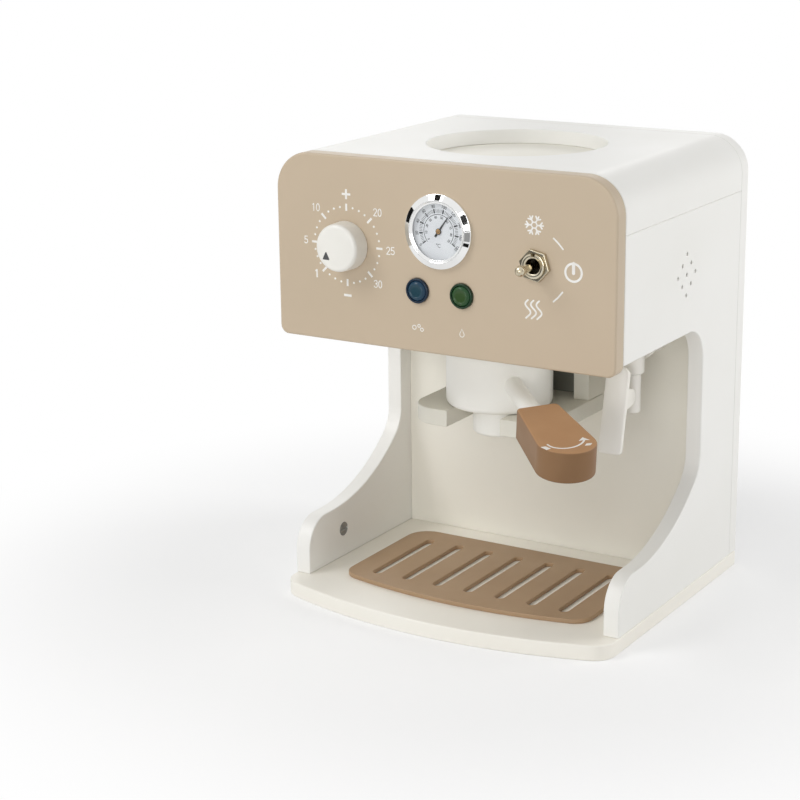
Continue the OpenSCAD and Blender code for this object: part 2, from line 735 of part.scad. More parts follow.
module gauge_bezel() color("#cfd2d6") turned_out(0, gauge_z) polygon(concat(
    [[pocket_r, 0], [bezel_r, 0]],
    arc(bezel_r - 1.6, bezel_out - 1.6, 1.6, 0, 90, 8),
    [[bezel_r - 2.6, bezel_out], [window_r + 0.9, glass_out + glass_t + 0.5],
     [window_r, glass_out + glass_t + 0.5], [window_r, glass_out + glass_t],
     [pocket_r, glass_out + glass_t]]));

module gauge_case() color("#e9e7e1") turned_out(0, gauge_z) polygon([
    [shaft_r + shaft_play, -gauge_depth], [gauge_r, -gauge_depth], [gauge_r, 0], [case_bore_r, 0],
    [case_bore_r, 1.5 - gauge_depth], [shaft_r + shaft_play, 1.5 - gauge_depth]]);

module gauge_dial() color("#f7f6f2") turned_out(0, gauge_z)
    polygon([[shaft_r + shaft_play, 0], [pocket_r - 0.1, 0], [pocket_r - 0.1, dial_t],
             [shaft_r + shaft_play, dial_t]]);

coil_turns = 3;
coil_pitch = 2;
coil_steps = 60;
coil_strip = 0.4;    // thickness of the bimetal strip
coil_width = 3;
coil_end_r = shaft_r + seat_play + coil_pitch * coil_turns;

// Points along a spiral at a distance outside the coil's inner edge
function spiral(out) = [for (i = [0 : coil_steps]) let (a = 360 * coil_turns * i / coil_steps)
    (shaft_r + seat_play + out + coil_pitch * a / 360) * [cos(a), sin(a)]];

// A spiral strip with a straight end that meets the case's wall
module gauge_coil() color("#b08d4c")
    translate([0, face_y + gauge_depth - coil_width, gauge_z]) rotate([90, 0, 0])
        linear_extrude(coil_width) polygon(concat(
            spiral(0), [[coil_end_r, coil_strip], [case_bore_r, coil_strip], [case_bore_r, 0]],
            [for (i = [coil_steps : -1 : 0]) spiral(coil_strip)[i]]));

module gauge_pointer() color("#1d1d1f")
    translate([0, face_y - dial_t - 0.15, gauge_z]) rotate([90, 0, 0]) rotate([0, 0, -pointer_rest])
        difference() {
            union() {
                linear_extrude(pointer_t) polygon([
                    [-0.55, 0], [-0.12, pointer_len], [0.12, pointer_len], [0.55, 0],
                    [0.5, -3.2], [-0.5, -3.2]]);
                cylinder(r = hub_r + 0.3, h = pointer_t);
            }
            translate([0, 0, -overcut])
                cylinder(r = shaft_r + shaft_play / 2, h = pointer_t + 2 * overcut);
        }

module gauge_hub() color("#c9a24a") turned_out(0, gauge_z) polygon([
    [0, seat_play - gauge_depth], [shaft_r, seat_play - gauge_depth], [shaft_r, dial_t + 0.42],
    [hub_r, dial_t + 0.42], [hub_r, dial_t + 0.7], [hub_r - 0.3, dial_t + 0.9],
    [0, dial_t + 0.9]]);

module gauge_glass() color("#dfe7ea", 0.35) turned_out(0, gauge_z)
    translate([0, glass_out]) square([pocket_r - 0.1, glass_t]);

// ---------- Buttons ----------

barrel_button_r = rim_r - 0.6;
button_case_depth = 14;
rim_inner_r = cap_r + 0.12;
stem_button_r = cap_r - 1.4;

module button_rim(x) turned_out(x, button_z) polygon([
    [0, -button_case_depth], [barrel_button_r, -button_case_depth], [barrel_button_r, 0],
    [rim_r, 0], [rim_r, rim_out - 0.4], [rim_r - 0.4, rim_out], [rim_inner_r + 0.3, rim_out],
    [rim_inner_r, rim_out - 0.3], [rim_inner_r, -button_travel - 1.8],
    [stem_button_r + 0.1, -button_travel - 1.8], [stem_button_r + 0.1, 3 - button_case_depth],
    [0, 3 - button_case_depth]]);

module button_rim_left() color("#1c3440") button_rim(-button_x);

module button_rim_right() color("#16301f") button_rim(button_x);

module button_cap(x) turned_out(x, button_z) polygon(concat(
    [[0, -6 - button_travel], [stem_button_r, -6 - button_travel], [stem_button_r, -1.6],
     [cap_r, -1.6], [cap_r, rim_out]],
    [for (i = [1 : 6]) [cap_r * cos(15 * i), rim_out + 1.1 * sin(15 * i)]]));

module button_left() color("#2c5a70") button_cap(-button_x);

module button_right() color("#1f5a35") button_cap(button_x);

module button_nuts() color("#8f9193") for (x = [-button_x, button_x]) difference() {
    rod_y(barrel_button_r + 2.2, head_y, head_y + 2.5, x, button_z);
    rod_y(barrel_button_r + shaft_play / 2, head_y - overcut, head_y + 2.5 + overcut, x, button_z);
}

// ---------- Toggle switch ----------

bushing_out = nut_t + 1;
bushing_bore_r = bushing_r - 2.5;
pivot_out = 0.6;
switch_w = 13;
switch_d = 13;
switch_h = 16;
thread_behind = 2;   // how far the bushing reaches into the switch's body

module toggle_body() color("#b9a77c") difference() {
    union() {
        turned_out(toggle_x, toggle_z) polygon([
            [0, -panel_t - thread_behind], [bushing_r, -panel_t - thread_behind],
            [bushing_r, bushing_out - 0.4],
            [bushing_r - 0.4, bushing_out], [0, bushing_out]]);
        translate([toggle_x - switch_w / 2, head_y, toggle_z - switch_h / 2])
            cube([switch_w, switch_d, switch_h]);
    }
    rod_y(bushing_bore_r, face_y - bushing_out - overcut, head_y + switch_d - 3, toggle_x, toggle_z);
}

module toggle_nut() color("#c9c4b4") difference() {
    translate([toggle_x, face_y, toggle_z]) rotate([90, 12, 0])
        cylinder(r = nut_flats / sqrt(3), h = nut_t, $fn = 6);
    rod_y(bushing_r + shaft_play / 2, face_y - nut_t - overcut, face_y + overcut,
          toggle_x, toggle_z);
}

bat_stem_r = bat_r * 0.62;
pivot_r = bushing_bore_r - shaft_play;

module toggle_lever() color("#d3cdbb") {
    turned_out(toggle_x, toggle_z) polygon(concat(
        [[0, pivot_out - 5.5], [0.9, pivot_out - 5.5], [0.9, pivot_out]],
        [[bat_stem_r * 0.8, pivot_out], [bat_stem_r, bat_out - bat_r]],
        arc(0, bat_out, bat_r, -50, 90, 10)));
    translate([toggle_x, face_y - pivot_out, toggle_z]) sphere(r = pivot_r);
}

// ---------- Sound ----------

speaker_y = face_y + speaker_from_face;
speaker_d = 12;
speaker_rim_t = 1.6;
speaker_rim_w = 4;
basket_t = 1.5;        // thickness of the basket between rim and magnet
magnet_r = speaker_r / 2;
magnet_d = 4;
cone_t = 1;
cone_r = speaker_r - speaker_rim_w - basket_t;
magnet_in = speaker_d - magnet_d;   // depth at which the magnet starts
speaker_screw_r = 0.9;
screw_bite = 5;        // how far the loudspeaker's screws reach into the side panel

// A turned shape on the loudspeaker's axis, its depth measured inwards from the side panel
module turned_in() translate([inner_half, speaker_y, speaker_z]) rotate([0, -90, 0])
    rotate_extrude() children();

module at_speaker_screws()
    for (a = [45 : 90 : 315])
        translate([0, speaker_y + (speaker_r - 1.8) * cos(a), speaker_z + (speaker_r - 1.8) * sin(a)])
            children();

module speaker_frame() color("#3a3c3f") difference() {
    turned_in() polygon([
        [magnet_r - basket_t, magnet_in - basket_t], [cone_r, speaker_rim_t], [cone_r, 0],
        [speaker_r, 0], [speaker_r, speaker_rim_t], [speaker_r - speaker_rim_w, speaker_rim_t],
        [magnet_r, magnet_in], [magnet_r, speaker_d], [0, speaker_d], [0, magnet_in],
        [magnet_r - basket_t, magnet_in]]);
    at_speaker_screws() rod_x(speaker_screw_r + shaft_play, inner_half - 2 * speaker_rim_t,
                              inner_half + overcut, 0, 0);
}

module speaker_cone() color("#56585c") turned_in() polygon([
    [0, magnet_in - seat_play], [0, magnet_in - cone_t - seat_play],
    [magnet_r / 3, magnet_in - cone_t - seat_play], [cone_r - thin_gap, seat_play],
    [cone_r - seat_play, cone_t], [magnet_r - basket_t - thin_gap, magnet_in - cone_t - basket_t],
    [magnet_r - basket_t - thin_gap, magnet_in - seat_play]]);

module speaker_screws() color("#8f9193") at_speaker_screws() {
    rod_x(speaker_screw_r, inner_half - speaker_rim_t - 0.5, inner_half + screw_bite, 0, 0);
    rod_x(1.7, inner_half - speaker_rim_t - 1.2, inner_half - speaker_rim_t, 0, 0);
}

module sound_case() color("#26272a") difference() {
    translate([-module_w / 2, partition_y - module_d, fork_z]) cube([module_w, module_d, module_h]);
    translate([-module_w / 2 + case_wall, partition_y - module_d + case_wall, fork_z + case_wall])
        cube([module_w - 2 * case_wall, module_d, module_h - 2 * case_wall]);
}

board_t = 1.6;
board_play = 2;       // room between the circuit board's edges and the case
chip_w = 9;
chip_h = 6;
chip_t = 2;

// Circuit board against the case's front, with its chips behind it
module sound_board() color("#2f6b45") translate([0, partition_y - module_d + case_wall, fork_z]) {
    translate([-module_w / 2 + case_wall + board_play, 0, case_wall])
        cube([module_w - 2 * (case_wall + board_play), board_t, module_h - 2 * (case_wall + board_play)]);
    for (x = [-1.5 * chip_w, 0.5 * chip_w])
        translate([x, board_t - overcut / 10, module_h / 2 - chip_h / 2])
            cube([chip_w, chip_t, chip_h]);
}

// ---------- Batteries ----------

cell_count = 3;
cell_pitch = 2 * cell_r + 1;
cell_gap = 0.1;
contact_t = 0.8;
contact_w = 8;
contact_bump = 2;     // radius of the bump that meets the cell
cells_z = battery_z + battery_case_h / 2 - case_wall - cell_pitch / 2 - 0.3;
boss_r = 3.2;        // boss that the door's screw bites into
door_screw_z = battery_z - battery_case_h / 2 + boss_r + 1.8;
door_screw_r = 1.1;
flange_w = 4;       // width of the battery case's flange against the back board

module battery_case() color("#dcd9d2") difference() {
    union() {
        difference() {
            translate([-battery_case_w / 2, battery_y, battery_z - battery_case_h / 2])
                cube([battery_case_w, battery_d, battery_case_h]);
            translate([-battery_case_w / 2 + case_wall, battery_y + case_wall,
                       battery_z - battery_h / 2])
                cube([battery_case_w - 2 * case_wall, battery_d, battery_h]);
        }
        translate([-battery_case_w / 2 - flange_w, side_back - case_wall,
                   battery_z - battery_case_h / 2 - flange_w]) difference() {
            cube([battery_case_w + 2 * flange_w, case_wall, battery_case_h + 2 * flange_w]);
            translate([flange_w + case_wall / 2, -overcut, flange_w + case_wall / 2])
                cube([battery_case_w - case_wall, case_wall + 2 * overcut,
                      battery_case_h - case_wall]);
        }
        rod_y(boss_r, battery_y + case_wall / 2, battery_y + battery_d, 0, door_screw_z);
    }
    rod_y(door_screw_r + shaft_play, battery_y + 2 * case_wall, back_y + overcut, 0, door_screw_z);
}

module batteries() color("#4f7f9a") for (i = [0 : cell_count - 1])
    rod_x(cell_r, -cell_len / 2, cell_len / 2, battery_y + case_wall + cell_r + cell_gap,
          cells_z - i * cell_pitch);

module battery_contacts() color("#c9cacb") for (side = [-1, 1], i = [0 : cell_count - 1])
    mirror([side < 0 ? 1 : 0, 0, 0]) {
        translate([battery_case_w / 2 - case_wall - contact_t, battery_y + case_wall,
                   cells_z - i * cell_pitch - contact_w / 2])
            cube([contact_t, 2 * cell_r, contact_w]);
        rod_x(contact_bump, cell_len / 2 + cell_gap, battery_case_w / 2 - case_wall - contact_t / 2,
              battery_y + case_wall + cell_r + cell_gap, cells_z - i * cell_pitch);
    }

module battery_door() color("#e4e2dd") difference() {
    translate([-battery_case_w / 2, back_y - door_t, battery_z - battery_case_h / 2])
        cube([battery_case_w, door_t, battery_case_h]);
    rod_y(door_screw_r + shaft_play, back_y - 2 * door_t, back_y + overcut, 0, door_screw_z);
    rod_y(2.4, back_y - 1.3, back_y + overcut, 0, door_screw_z);
    for (i = [-2 : 2])
        translate([-8, back_y - 0.5, battery_z + battery_case_h / 2 - 9 + i * 2 - 0.4])
            cube([16, 0.5 + overcut, 0.8]);
}

module door_screw() color("#8f9193") difference() {
    union() {
        rod_y(door_screw_r, battery_y + 6, back_y - 1.2, 0, door_screw_z);
        rod_y(2.2, back_y - 1.3, back_y - 0.2, 0, door_screw_z);
    }
    translate([-1.5, back_y - 0.7, door_screw_z - 0.25]) cube([3, overcut + 0.7, 0.5]);
    translate([-0.25, back_y - 0.7, door_screw_z - 1.5]) cube([0.5, overcut + 0.7, 3]);
}

// ---------- Drip tray ----------

tray_y = face_y + tray_from_face;
slot_y = tray_y + slot_inset;
slot_half = 3;   // slots on each side of the middle one

module drip_tray() color("#8d6a52") translate([tray_x, 0, 0]) difference() {
    bowed_board(tray_w, tray_y, tray_y + tray_d, tray_bow_r, tray_corner_r, tray_back_r,
                base_t, tray_t);
    for (i = [-slot_half : slot_half]) {
        translate([i * slot_pitch - slot_w / 2, slot_y + slot_w / 2, base_t - overcut])
            cube([slot_w, slot_len - slot_w, tray_t + 2 * overcut]);
        for (y = [slot_y + slot_w / 2, slot_y + slot_len - slot_w / 2])
            rod_z(slot_w / 2, base_t - overcut, base_t + tray_t + overcut, i * slot_pitch, y);
    }
}

base_board();
side_left();
side_right();
partition();
back_board();
top_cover();
well_floor();
housing_floor();
front_panel();
panel_dowels();
base_bolts();
barrel_nuts();
fork_bracket();
post_left();
post_right();
brew_head();
portafilter_cup();
filter_ring();
portafilter_spout();
portafilter_stem();
portafilter_handle();
tap_body();
tap_nut();
tap_lever();
tap_pin();
timer_knob();
knob_spindle();
knob_washer();
knob_screw();
gauge_bezel();
gauge_case();
gauge_dial();
gauge_coil();
gauge_pointer();
gauge_hub();
gauge_glass();
button_rim_left();
button_rim_right();
button_left();
button_right();
button_nuts();
toggle_body();
toggle_nut();
toggle_lever();
speaker_frame();
speaker_cone();
speaker_screws();
sound_case();
sound_board();
battery_case();
battery_contacts();
batteries();
battery_door();
door_screw();
drip_tray();
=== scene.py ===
"""Toy coffee maker: the looks of a painted board toy with a brewing group, a tap and a panel.

The sections follow the toy as it is put together. Sizes are in millimetres until a mesh is
made, and every mesh lies where the CAD model has it.
"""

import json
import math

import bmesh
import bpy
import numpy as np
from mathutils import Matrix, Vector

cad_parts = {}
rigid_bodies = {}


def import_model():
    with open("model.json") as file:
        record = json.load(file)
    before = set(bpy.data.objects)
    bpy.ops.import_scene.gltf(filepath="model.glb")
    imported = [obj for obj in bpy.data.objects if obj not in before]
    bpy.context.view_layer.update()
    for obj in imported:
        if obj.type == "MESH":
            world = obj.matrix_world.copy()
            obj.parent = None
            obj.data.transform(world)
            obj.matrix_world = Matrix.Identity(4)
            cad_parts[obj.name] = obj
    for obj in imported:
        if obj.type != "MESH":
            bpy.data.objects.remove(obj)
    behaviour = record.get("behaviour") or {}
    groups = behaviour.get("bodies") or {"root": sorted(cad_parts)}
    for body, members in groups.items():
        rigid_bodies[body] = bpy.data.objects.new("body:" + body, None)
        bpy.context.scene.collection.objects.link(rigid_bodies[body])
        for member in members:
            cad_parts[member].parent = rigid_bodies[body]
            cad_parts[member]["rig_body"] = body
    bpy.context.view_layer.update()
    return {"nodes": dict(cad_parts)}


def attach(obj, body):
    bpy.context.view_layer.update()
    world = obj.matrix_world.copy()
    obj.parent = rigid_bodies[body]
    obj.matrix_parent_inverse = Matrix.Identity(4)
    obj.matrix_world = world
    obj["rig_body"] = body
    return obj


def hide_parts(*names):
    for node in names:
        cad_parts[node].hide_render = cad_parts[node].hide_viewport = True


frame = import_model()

# ---------- Base board ----------
# The base is 8 mm fibreboard with a bowed front, cut with a router. Its edges are broken
# with sandpaper, and it is sprayed with satin white paint, as the other boards are.

MM = 0.001


def linear(colour):
    """The linear colour of an sRGB hex value: each channel is taken back through the curve."""
    parts = np.array([int(colour[i:i + 2], 16) for i in (1, 3, 5)]) / 255
    parts = np.where(parts <= 0.04045, parts / 12.92, ((parts + 0.055) / 1.055) ** 2.4)
    return (*parts.tolist(), 1.0)


def put(tree, kind, sockets=(), **settings):
    """Adds a node with its settings; a socket takes a value, or a link as (node, output)."""
    node = tree.nodes.new("ShaderNode" + kind)
    for name, value in settings.items():
        setattr(node, name, value)
    for name, value in dict(sockets).items():
        if isinstance(value, tuple) and isinstance(value[0], bpy.types.Node):
            tree.links.new(value[0].outputs[value[1]], node.inputs[name])
        else:
            node.inputs[name].default_value = value
    return node


def blank(name):
    """A new material with an empty node tree, and that tree."""
    material = bpy.data.materials.new(name)
    material.use_nodes = True
    material.node_tree.nodes.clear()
    return material, material.node_tree


def uneven(name, colours, patch, rough, grain, depth, stretch=(1, 1, 1), sides=1.0, more=()):
    """A finish that varies a little. Its colour and its roughness drift between two values
    over patches of that width, and it rises and falls by depth over each grain's width, all
    in millimetres. stretch shortens both along an axis, sides dims what doesn't face up, a
    painted shade that makes tops look lit from above, and more sets the shader's own sockets."""
    material, tree = blank(name)
    place = put(tree, "Mapping", {"Vector": (put(tree, "TexCoord"), "Object"), "Scale": stretch})
    clouds = put(tree, "TexNoise", {"Vector": (place, 0), "Scale": 1 / (patch * MM), "Detail": 3})
    grains = put(tree, "TexNoise", {"Vector": (place, 0), "Scale": 1 / (grain * MM), "Detail": 2})
    drift = put(tree, "MapRange", {0: (clouds, 0), 1: 0.3, 2: 0.7})
    tint = put(tree, "Mix", {0: (drift, 0), 6: linear(colours[0]), 7: linear(colours[1])},
               data_type="RGBA")
    colour = (tint, 2)
    # Painted shade: faces that don't look up are darkened by sides, so that tops look lit from
    # above.
    if sides < 1:
        facing = put(tree, "SeparateXYZ", {0: (put(tree, "NewGeometry"), "Normal")})
        painted_side_shade = put(tree, "MapRange", {0: (facing, "Z"), 1: 0.3, 2: 0.8, 3: sides, 4: 1.0})
        colour = (put(tree, "HueSaturation", {"Value": (painted_side_shade, 0), "Color": (tint, 2)}), 0)
    dull = put(tree, "MapRange", {0: (clouds, 0), 1: 0.3, 2: 0.7, 3: rough[0], 4: rough[1]})
    bump = put(tree, "Bump", {"Height": (grains, 0), "Distance": depth * MM, "Strength": 1.0})
    shader = put(tree, "BsdfPrincipled", {
        "Base Color": colour, "Roughness": (dull, 0), "Normal": (bump, 0), **dict(more)})
    put(tree, "OutputMaterial", {"Surface": (shader, 0)})
    return material


def linked(name, data):
    """A new object in the scene that shows this mesh, light or camera."""
    thing = bpy.data.objects.new(name, data)
    bpy.context.scene.collection.objects.link(thing)
    return thing


def add_piece(name, mesh, body, slot, finish, *nodes):
    """Puts a finished mesh in finish on its body, in place of these CAD nodes. slot is not used.
    """
    mesh.materials.clear()
    mesh.materials.append(finish)
    piece = linked(name, mesh)
    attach(piece, body)
    if nodes:
        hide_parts(*nodes)
    return piece


SMALL_SHARE = 0.35


def eased(node, name, radius, slot, finish, limit=35, small=4):
    """The CAD piece with its edges broken. Its loose triangles are merged and its flat faces
    made whole, then each edge that turns by more than limit degrees gets a round of that
    radius, and SMALL_SHARE of it beside a face under small square millimetres, as in a hole."""
    source = frame["nodes"][node]
    mesh = source.data.copy()
    work = bmesh.new()
    work.from_mesh(mesh)
    bmesh.ops.remove_doubles(work, verts=work.verts, dist=1e-6)
    bmesh.ops.dissolve_limit(work, angle_limit=math.radians(0.3), verts=work.verts,
                             edges=work.edges)
    work.to_mesh(mesh)
    work.free()
    if "custom_normal" in mesh.attributes:
        mesh.attributes.remove(mesh.attributes["custom_normal"])
    mesh.shade_smooth()
    edge = np.empty(len(mesh.loops), int)
    mesh.loops.foreach_get("edge_index", edge)
    count, normal, area = (np.empty(len(mesh.polygons) * n, kind)
                           for n, kind in ((1, int), (3, float), (1, float)))
    mesh.polygons.foreach_get("loop_total", count)
    mesh.polygons.foreach_get("normal", normal)
    mesh.polygons.foreach_get("area", area)
    normal = normal.reshape(-1, 3)
    face = np.repeat(np.arange(len(count)), count)
    pair = face[np.argsort(edge, kind="stable")].reshape(-1, 2)
    turn = (normal[pair[:, 0]] * normal[pair[:, 1]]).sum(1) < math.cos(math.radians(limit))
    narrow = area[pair].min(1) < small * MM * MM
    weights = mesh.attributes.new("bevel_weight_edge", "FLOAT", "EDGE")
    weights.data.foreach_set("value", np.where(narrow, SMALL_SHARE, 1.0) * turn)
    piece = add_piece(name, mesh, source["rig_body"], slot, finish, node)
    bevel = piece.modifiers.new("broken edges", "BEVEL")
    bevel.limit_method = "WEIGHT"
    bevel.width = radius * MM
    bevel.segments = 3
    bevel.use_clamp_overlap = False
    bevel.loop_slide = False
    piece.modifiers.new("flat faces", "WEIGHTED_NORMAL").keep_sharp = False
    return piece


# Satin water-based paint over fibreboard: almost matt, with a soft broad sheen. The ripple
# of the spray is about 0.5 mm in truth and drawn at 1.6 mm, so that it shows.
white_paint = uneven("sprayed_white_paint", ("#F4F3EF", "#F1F0EB"), 70, (0.38, 0.46), 1.6, 0.012,
                     more={"IOR": 1.5})
# The base has the same paint, drawn lighter and warmer: painted bounce light under the housing.
base_paint_painted_light = uneven("base_paint_with_painted_light", ("#F8F5EC", "#F6F2E8"), 70, (0.38, 0.46), 1.6, 0.012,
                    more={"IOR": 1.5})
eased("base_board", "bowed_base", 0.9, "white_board", base_paint_painted_light)

# ---------- Side panels ----------
# Each side is one 8.3 mm board with a foot, a long sweep and a head. The right one has nine
# small holes for the loudspeaker, and steel cross nuts show inside the feet.

eased("side_left", "left_side", 0.7, "white_board", white_paint)
eased("side_right", "right_side", 0.7, "white_board", white_paint)

# Zinc-plated steel: a dull bluish metal whose plating is slightly cloudy.
zinc = uneven("zinc_plated_steel", ("#A9ABAD", "#8F9295"), 3, (0.3, 0.5), 0.4, 0.004,
              more={"Metallic": 1.0})
eased("barrel_nuts", "cross_nuts", 0.3, "nut_steel", zinc)
eased("base_bolts", "base_bolts_plated", 0.25, "zinc", zinc, small=0)

# ---------- Inner boards ----------
# The partition, the floor of the well and the housing's floor are 6 mm boards with the same
# paint, drawn warmer and a little darker as painted shade, for the warm bounce light inside.
# The dowels between the boards are bare beech.

# Painted shade: a warmer, darker white than the body's, for the dim warm light inside the toy.
inner_paint_painted_shade = uneven("warm_white_paint_painted_shade", ("#F1EEE4", "#EDEADF"), 70, (0.45, 0.55), 1.6,
                     0.012, more={"IOR": 1.5})
eased("partition", "partition_board", 0.35, "inner_board", inner_paint_painted_shade)
eased("housing_floor", "housing_board", 0.35, "inner_board", inner_paint_painted_shade)
eased("well_floor", "well_board", 0.35, "inner_board", inner_paint_painted_shade)

# Turned beech: pale brown, with grain drawn out along the dowel.
beech = uneven("bare_beech", ("#D9BD92", "#C9A877"), 4, (0.55, 0.7), 0.8, 0.03,
               stretch=(1, 0.1, 1), more={"IOR": 1.5})


def dress(finish, *nodes):
    """Gives CAD nodes that keep their own mesh another finish."""
    for node in nodes:
        for place in frame["nodes"][node].material_slots:
            place.material = finish


dress(beech, "panel_dowels")

# ---------- Back board and top cover ----------
# The back is one 8.6 mm board with a window for the batteries. The cover over the top is a
# thick board, rounded along its sides, with a round well in which the cups stand.

eased("back_board", "back_panel", 0.8, "white_board", white_paint)
eased("top_cover", "top_board", 0.6, "white_board", white_paint)

# ---------- Front panel ----------
# The panel is an 8.6 mm board, sprayed in a warm sand colour. The scales and signs on it are
# screen-printed in white ink, which stands up a little from the paint.

# The same satin paint as on the body, tinted. The colour drifts very little.
sand_paint = uneven("sprayed_sand_paint", ("#C7B59D", "#C2B199"), 90, (0.42, 0.5), 1.6, 0.012,
                    more={"IOR": 1.5})
eased("front_panel", "sand_panel", 1.1, "tan_panel", sand_paint)

# Screen ink: flat white, slightly see-through in thin strokes, so a little grey.
white_ink = uneven("white_screen_ink", ("#F4F3F0", "#E9E6E0"), 5, (0.5, 0.6), 0.5, 0.004,
                   more={"IOR": 1.5})


def ribbon(path, width, closed=False, ends="round"):
    """The outline of a stroke along path: each point moves by half the width to the left and
    to the right, square to the path. A closed path gives a pair of loops."""
    path = np.asarray(path, float)
    if closed:
        along = np.roll(path, -1, 0) - np.roll(path, 1, 0)
    else:
        along = np.gradient(path, axis=0)
    along /= np.linalg.norm(along, axis=1)[:, None]
    side = np.stack([-along[:, 1], along[:, 0]], 1) * width / 2
    if closed:
        return path + side, path - side
    if ends == "flat":
        return np.concatenate([path + side, (path - side)[::-1]])
    turn = np.linspace(0, math.pi, 7)[1:-1, None]
    cap_end = path[-1] + np.cos(turn) * side[-1] + np.sin(turn) * along[-1] * width / 2
    cap_start = path[0] - np.cos(turn) * side[0] - np.sin(turn) * along[0] * width / 2
    return np.concatenate([path + side, cap_end, (path - side)[::-1], cap_start])


def circle(x, y, radius, start=0, end=360, steps=48, closed=False):
    """Points of an arc about (x, y), clockwise from the top, from start to end degrees."""
    turn = np.radians(np.linspace(start, end, steps, endpoint=not closed))
    return np.stack([x + radius * np.sin(turn), y + radius * np.cos(turn)], 1)


def solid_mesh(name, points, faces, merge=0.0):
    """A mesh from points in millimetres whose faces all look outwards. Points that are less
    than merge metres apart become one, and faces that shut thereby go."""
    mesh = bpy.data.meshes.new(name)
    mesh.from_pydata(points * MM, [], faces)
    work = bmesh.new()
    work.from_mesh(mesh)
    if merge:
        bmesh.ops.remove_doubles(work, verts=work.verts, dist=merge)
        bmesh.ops.dissolve_degenerate(work, edges=work.edges, dist=merge)
    bmesh.ops.recalc_face_normals(work, faces=work.faces)
    work.to_mesh(mesh)
    work.free()
    return mesh


def printed(name, marks, origin, across, up, height, body, slot, ink):
    """Thin plates of ink. The point (a, b) of a mark lies at origin + a across + b up, and the
    plate stands from just under the surface to that height above it. A mark is a closed
    outline, or a pair of loops for a ring. Each plate is a hair higher than the last."""
    origin, across, up = (np.asarray(v, float) for v in (origin, across, up))
    out = np.cross(across, up)
    points, faces, first = [], [], 0
    for i, mark in enumerate(marks):
        ring = isinstance(mark, tuple)
        loop = np.concatenate(mark) if ring else mark
        n = len(loop)
        flat = origin + loop[:, :1] * across + loop[:, 1:] * up
        points += [flat + (height + 0.0015 * (i % 9)) * out, flat - 0.05 * out]
        here, half = np.arange(n) + first, n // 2
        if ring:
            a, b = here[:half], here[half:]
            a2, b2 = np.roll(a, -1), np.roll(b, -1)
            quads = [(a, a2, b2, b), (a + n, b + n, b2 + n, a2 + n),
                     (a, a + n, a2 + n, a2), (b, b2, b2 + n, b + n)]
            faces += np.concatenate([np.stack(q, 1) for q in quads]).tolist()
        else:
            after = np.roll(here, -1)
            faces += [here.tolist(), (here + n)[::-1].tolist()]
            faces += np.stack([here, here + n, after + n, after], 1).tolist()
        first += 2 * n
    return add_piece(name, solid_mesh(name, np.concatenate(points), faces), body, slot, ink)


# The strokes of each digit in a box 0.6 wide and 1 high about (0, 0). A stroke ends at a corner.
DIGITS = {
    "0": [(circle(0, 0, 1) * (0.25, 0.5), True)],
    "1": [([(-0.13, 0.36), (0.03, 0.5)], False), ([(0.03, 0.5), (0.03, -0.5)], False)],
    "2": [(np.concatenate([circle(0, 0.24, 0.25, -80, 120, 12), [(-0.25, -0.5)]]), False),
          ([(-0.25, -0.5), (0.27, -0.5)], False)],
    "3": [(circle(-0.01, 0.25, 0.24, -70, 180, 12), False),
          (circle(-0.01, -0.24, 0.26, 0, 250, 14), False)],
    "4": [([(0.12, -0.5), (0.12, 0.5)], False), ([(0.12, 0.5), (-0.27, -0.2)], False),
          ([(-0.27, -0.2), (0.28, -0.2)], False)],
    "5": [([(0.22, 0.5), (-0.18, 0.5)], False), ([(-0.18, 0.5), (-0.2, 0.04)], False),
          (circle(-0.03, -0.19, 0.29, -38, 235, 18), False)],
    "6": [(circle(0, -0.22, 0.27), True), ([(0.17, 0.5), (-0.12, 0.2), (-0.25, -0.15)], False)],
    "7": [([(-0.25, 0.5), (0.25, 0.5)], False), ([(0.25, 0.5), (-0.07, -0.5)], False)],
    "8": [(circle(0, 0.27, 0.21), True), (circle(0, -0.22, 0.26), True)],
    "9": [(circle(0, 0.22, 0.27), True), ([(-0.17, -0.5), (0.12, -0.2), (0.25, 0.15)], False)],
}


def number(text, x, y, size, stroke, turn=0):
    """The strokes of a number, each digit 0.72 of its height further, turned clockwise."""
    c, s = math.cos(math.radians(turn)), math.sin(math.radians(turn))
    marks = []
    for i, digit in enumerate(text):
        shift = (i - (len(text) - 1) / 2) * 0.72
        for path, closed in DIGITS[digit]:
            flat = (np.asarray(path, float) + (shift, 0)) * size
            flat = flat @ np.array([(c, -s), (s, c)]) + (x, y)
            marks.append(ribbon(flat, stroke, closed))
    return marks


def spoke(x, y, inner, outer, turn, width):
    """A straight stroke that points away from (x, y), turned clockwise from the top."""
    way = np.array([math.sin(math.radians(turn)), math.cos(math.radians(turn))])
    return ribbon([np.array([x, y]) + way * r for r in (inner, outer)], width, ends="flat")


KNOB = (-52.0, 186.5)
scale = [spoke(*KNOB, 16.8, 20.3, 45 * i, 1.1) for i in range(8)]
scale += [circle(KNOB[0] + 18.7 * math.sin(math.radians(11.25 * i)),
                 KNOB[1] + 18.7 * math.cos(math.radians(11.25 * i)), 0.56, steps=12, closed=True)
          for i in range(32) if i % 4]
scale += [ribbon([(-54.45, 211.4), (-49.55, 211.4)], 1.1, ends="flat"),
          ribbon([(-52, 213.85), (-52, 208.95)], 1.1, ends="flat"),
          ribbon([(-54.2, 161.6), (-49.8, 161.6)], 1.2, ends="flat")]
for text, x, z, stroke in (("1", -69.9, 170.8, 0.8), ("5", -75.8, 187.0, 0.45),
                           ("10", -69.7, 203.6, 0.45), ("20", -34.3, 204.0, 0.45),
                           ("25", -27.2, 186.0, 0.45), ("30", -34.5, 169.0, 0.45)):
    scale += number(text, x, z, 3.5, stroke)

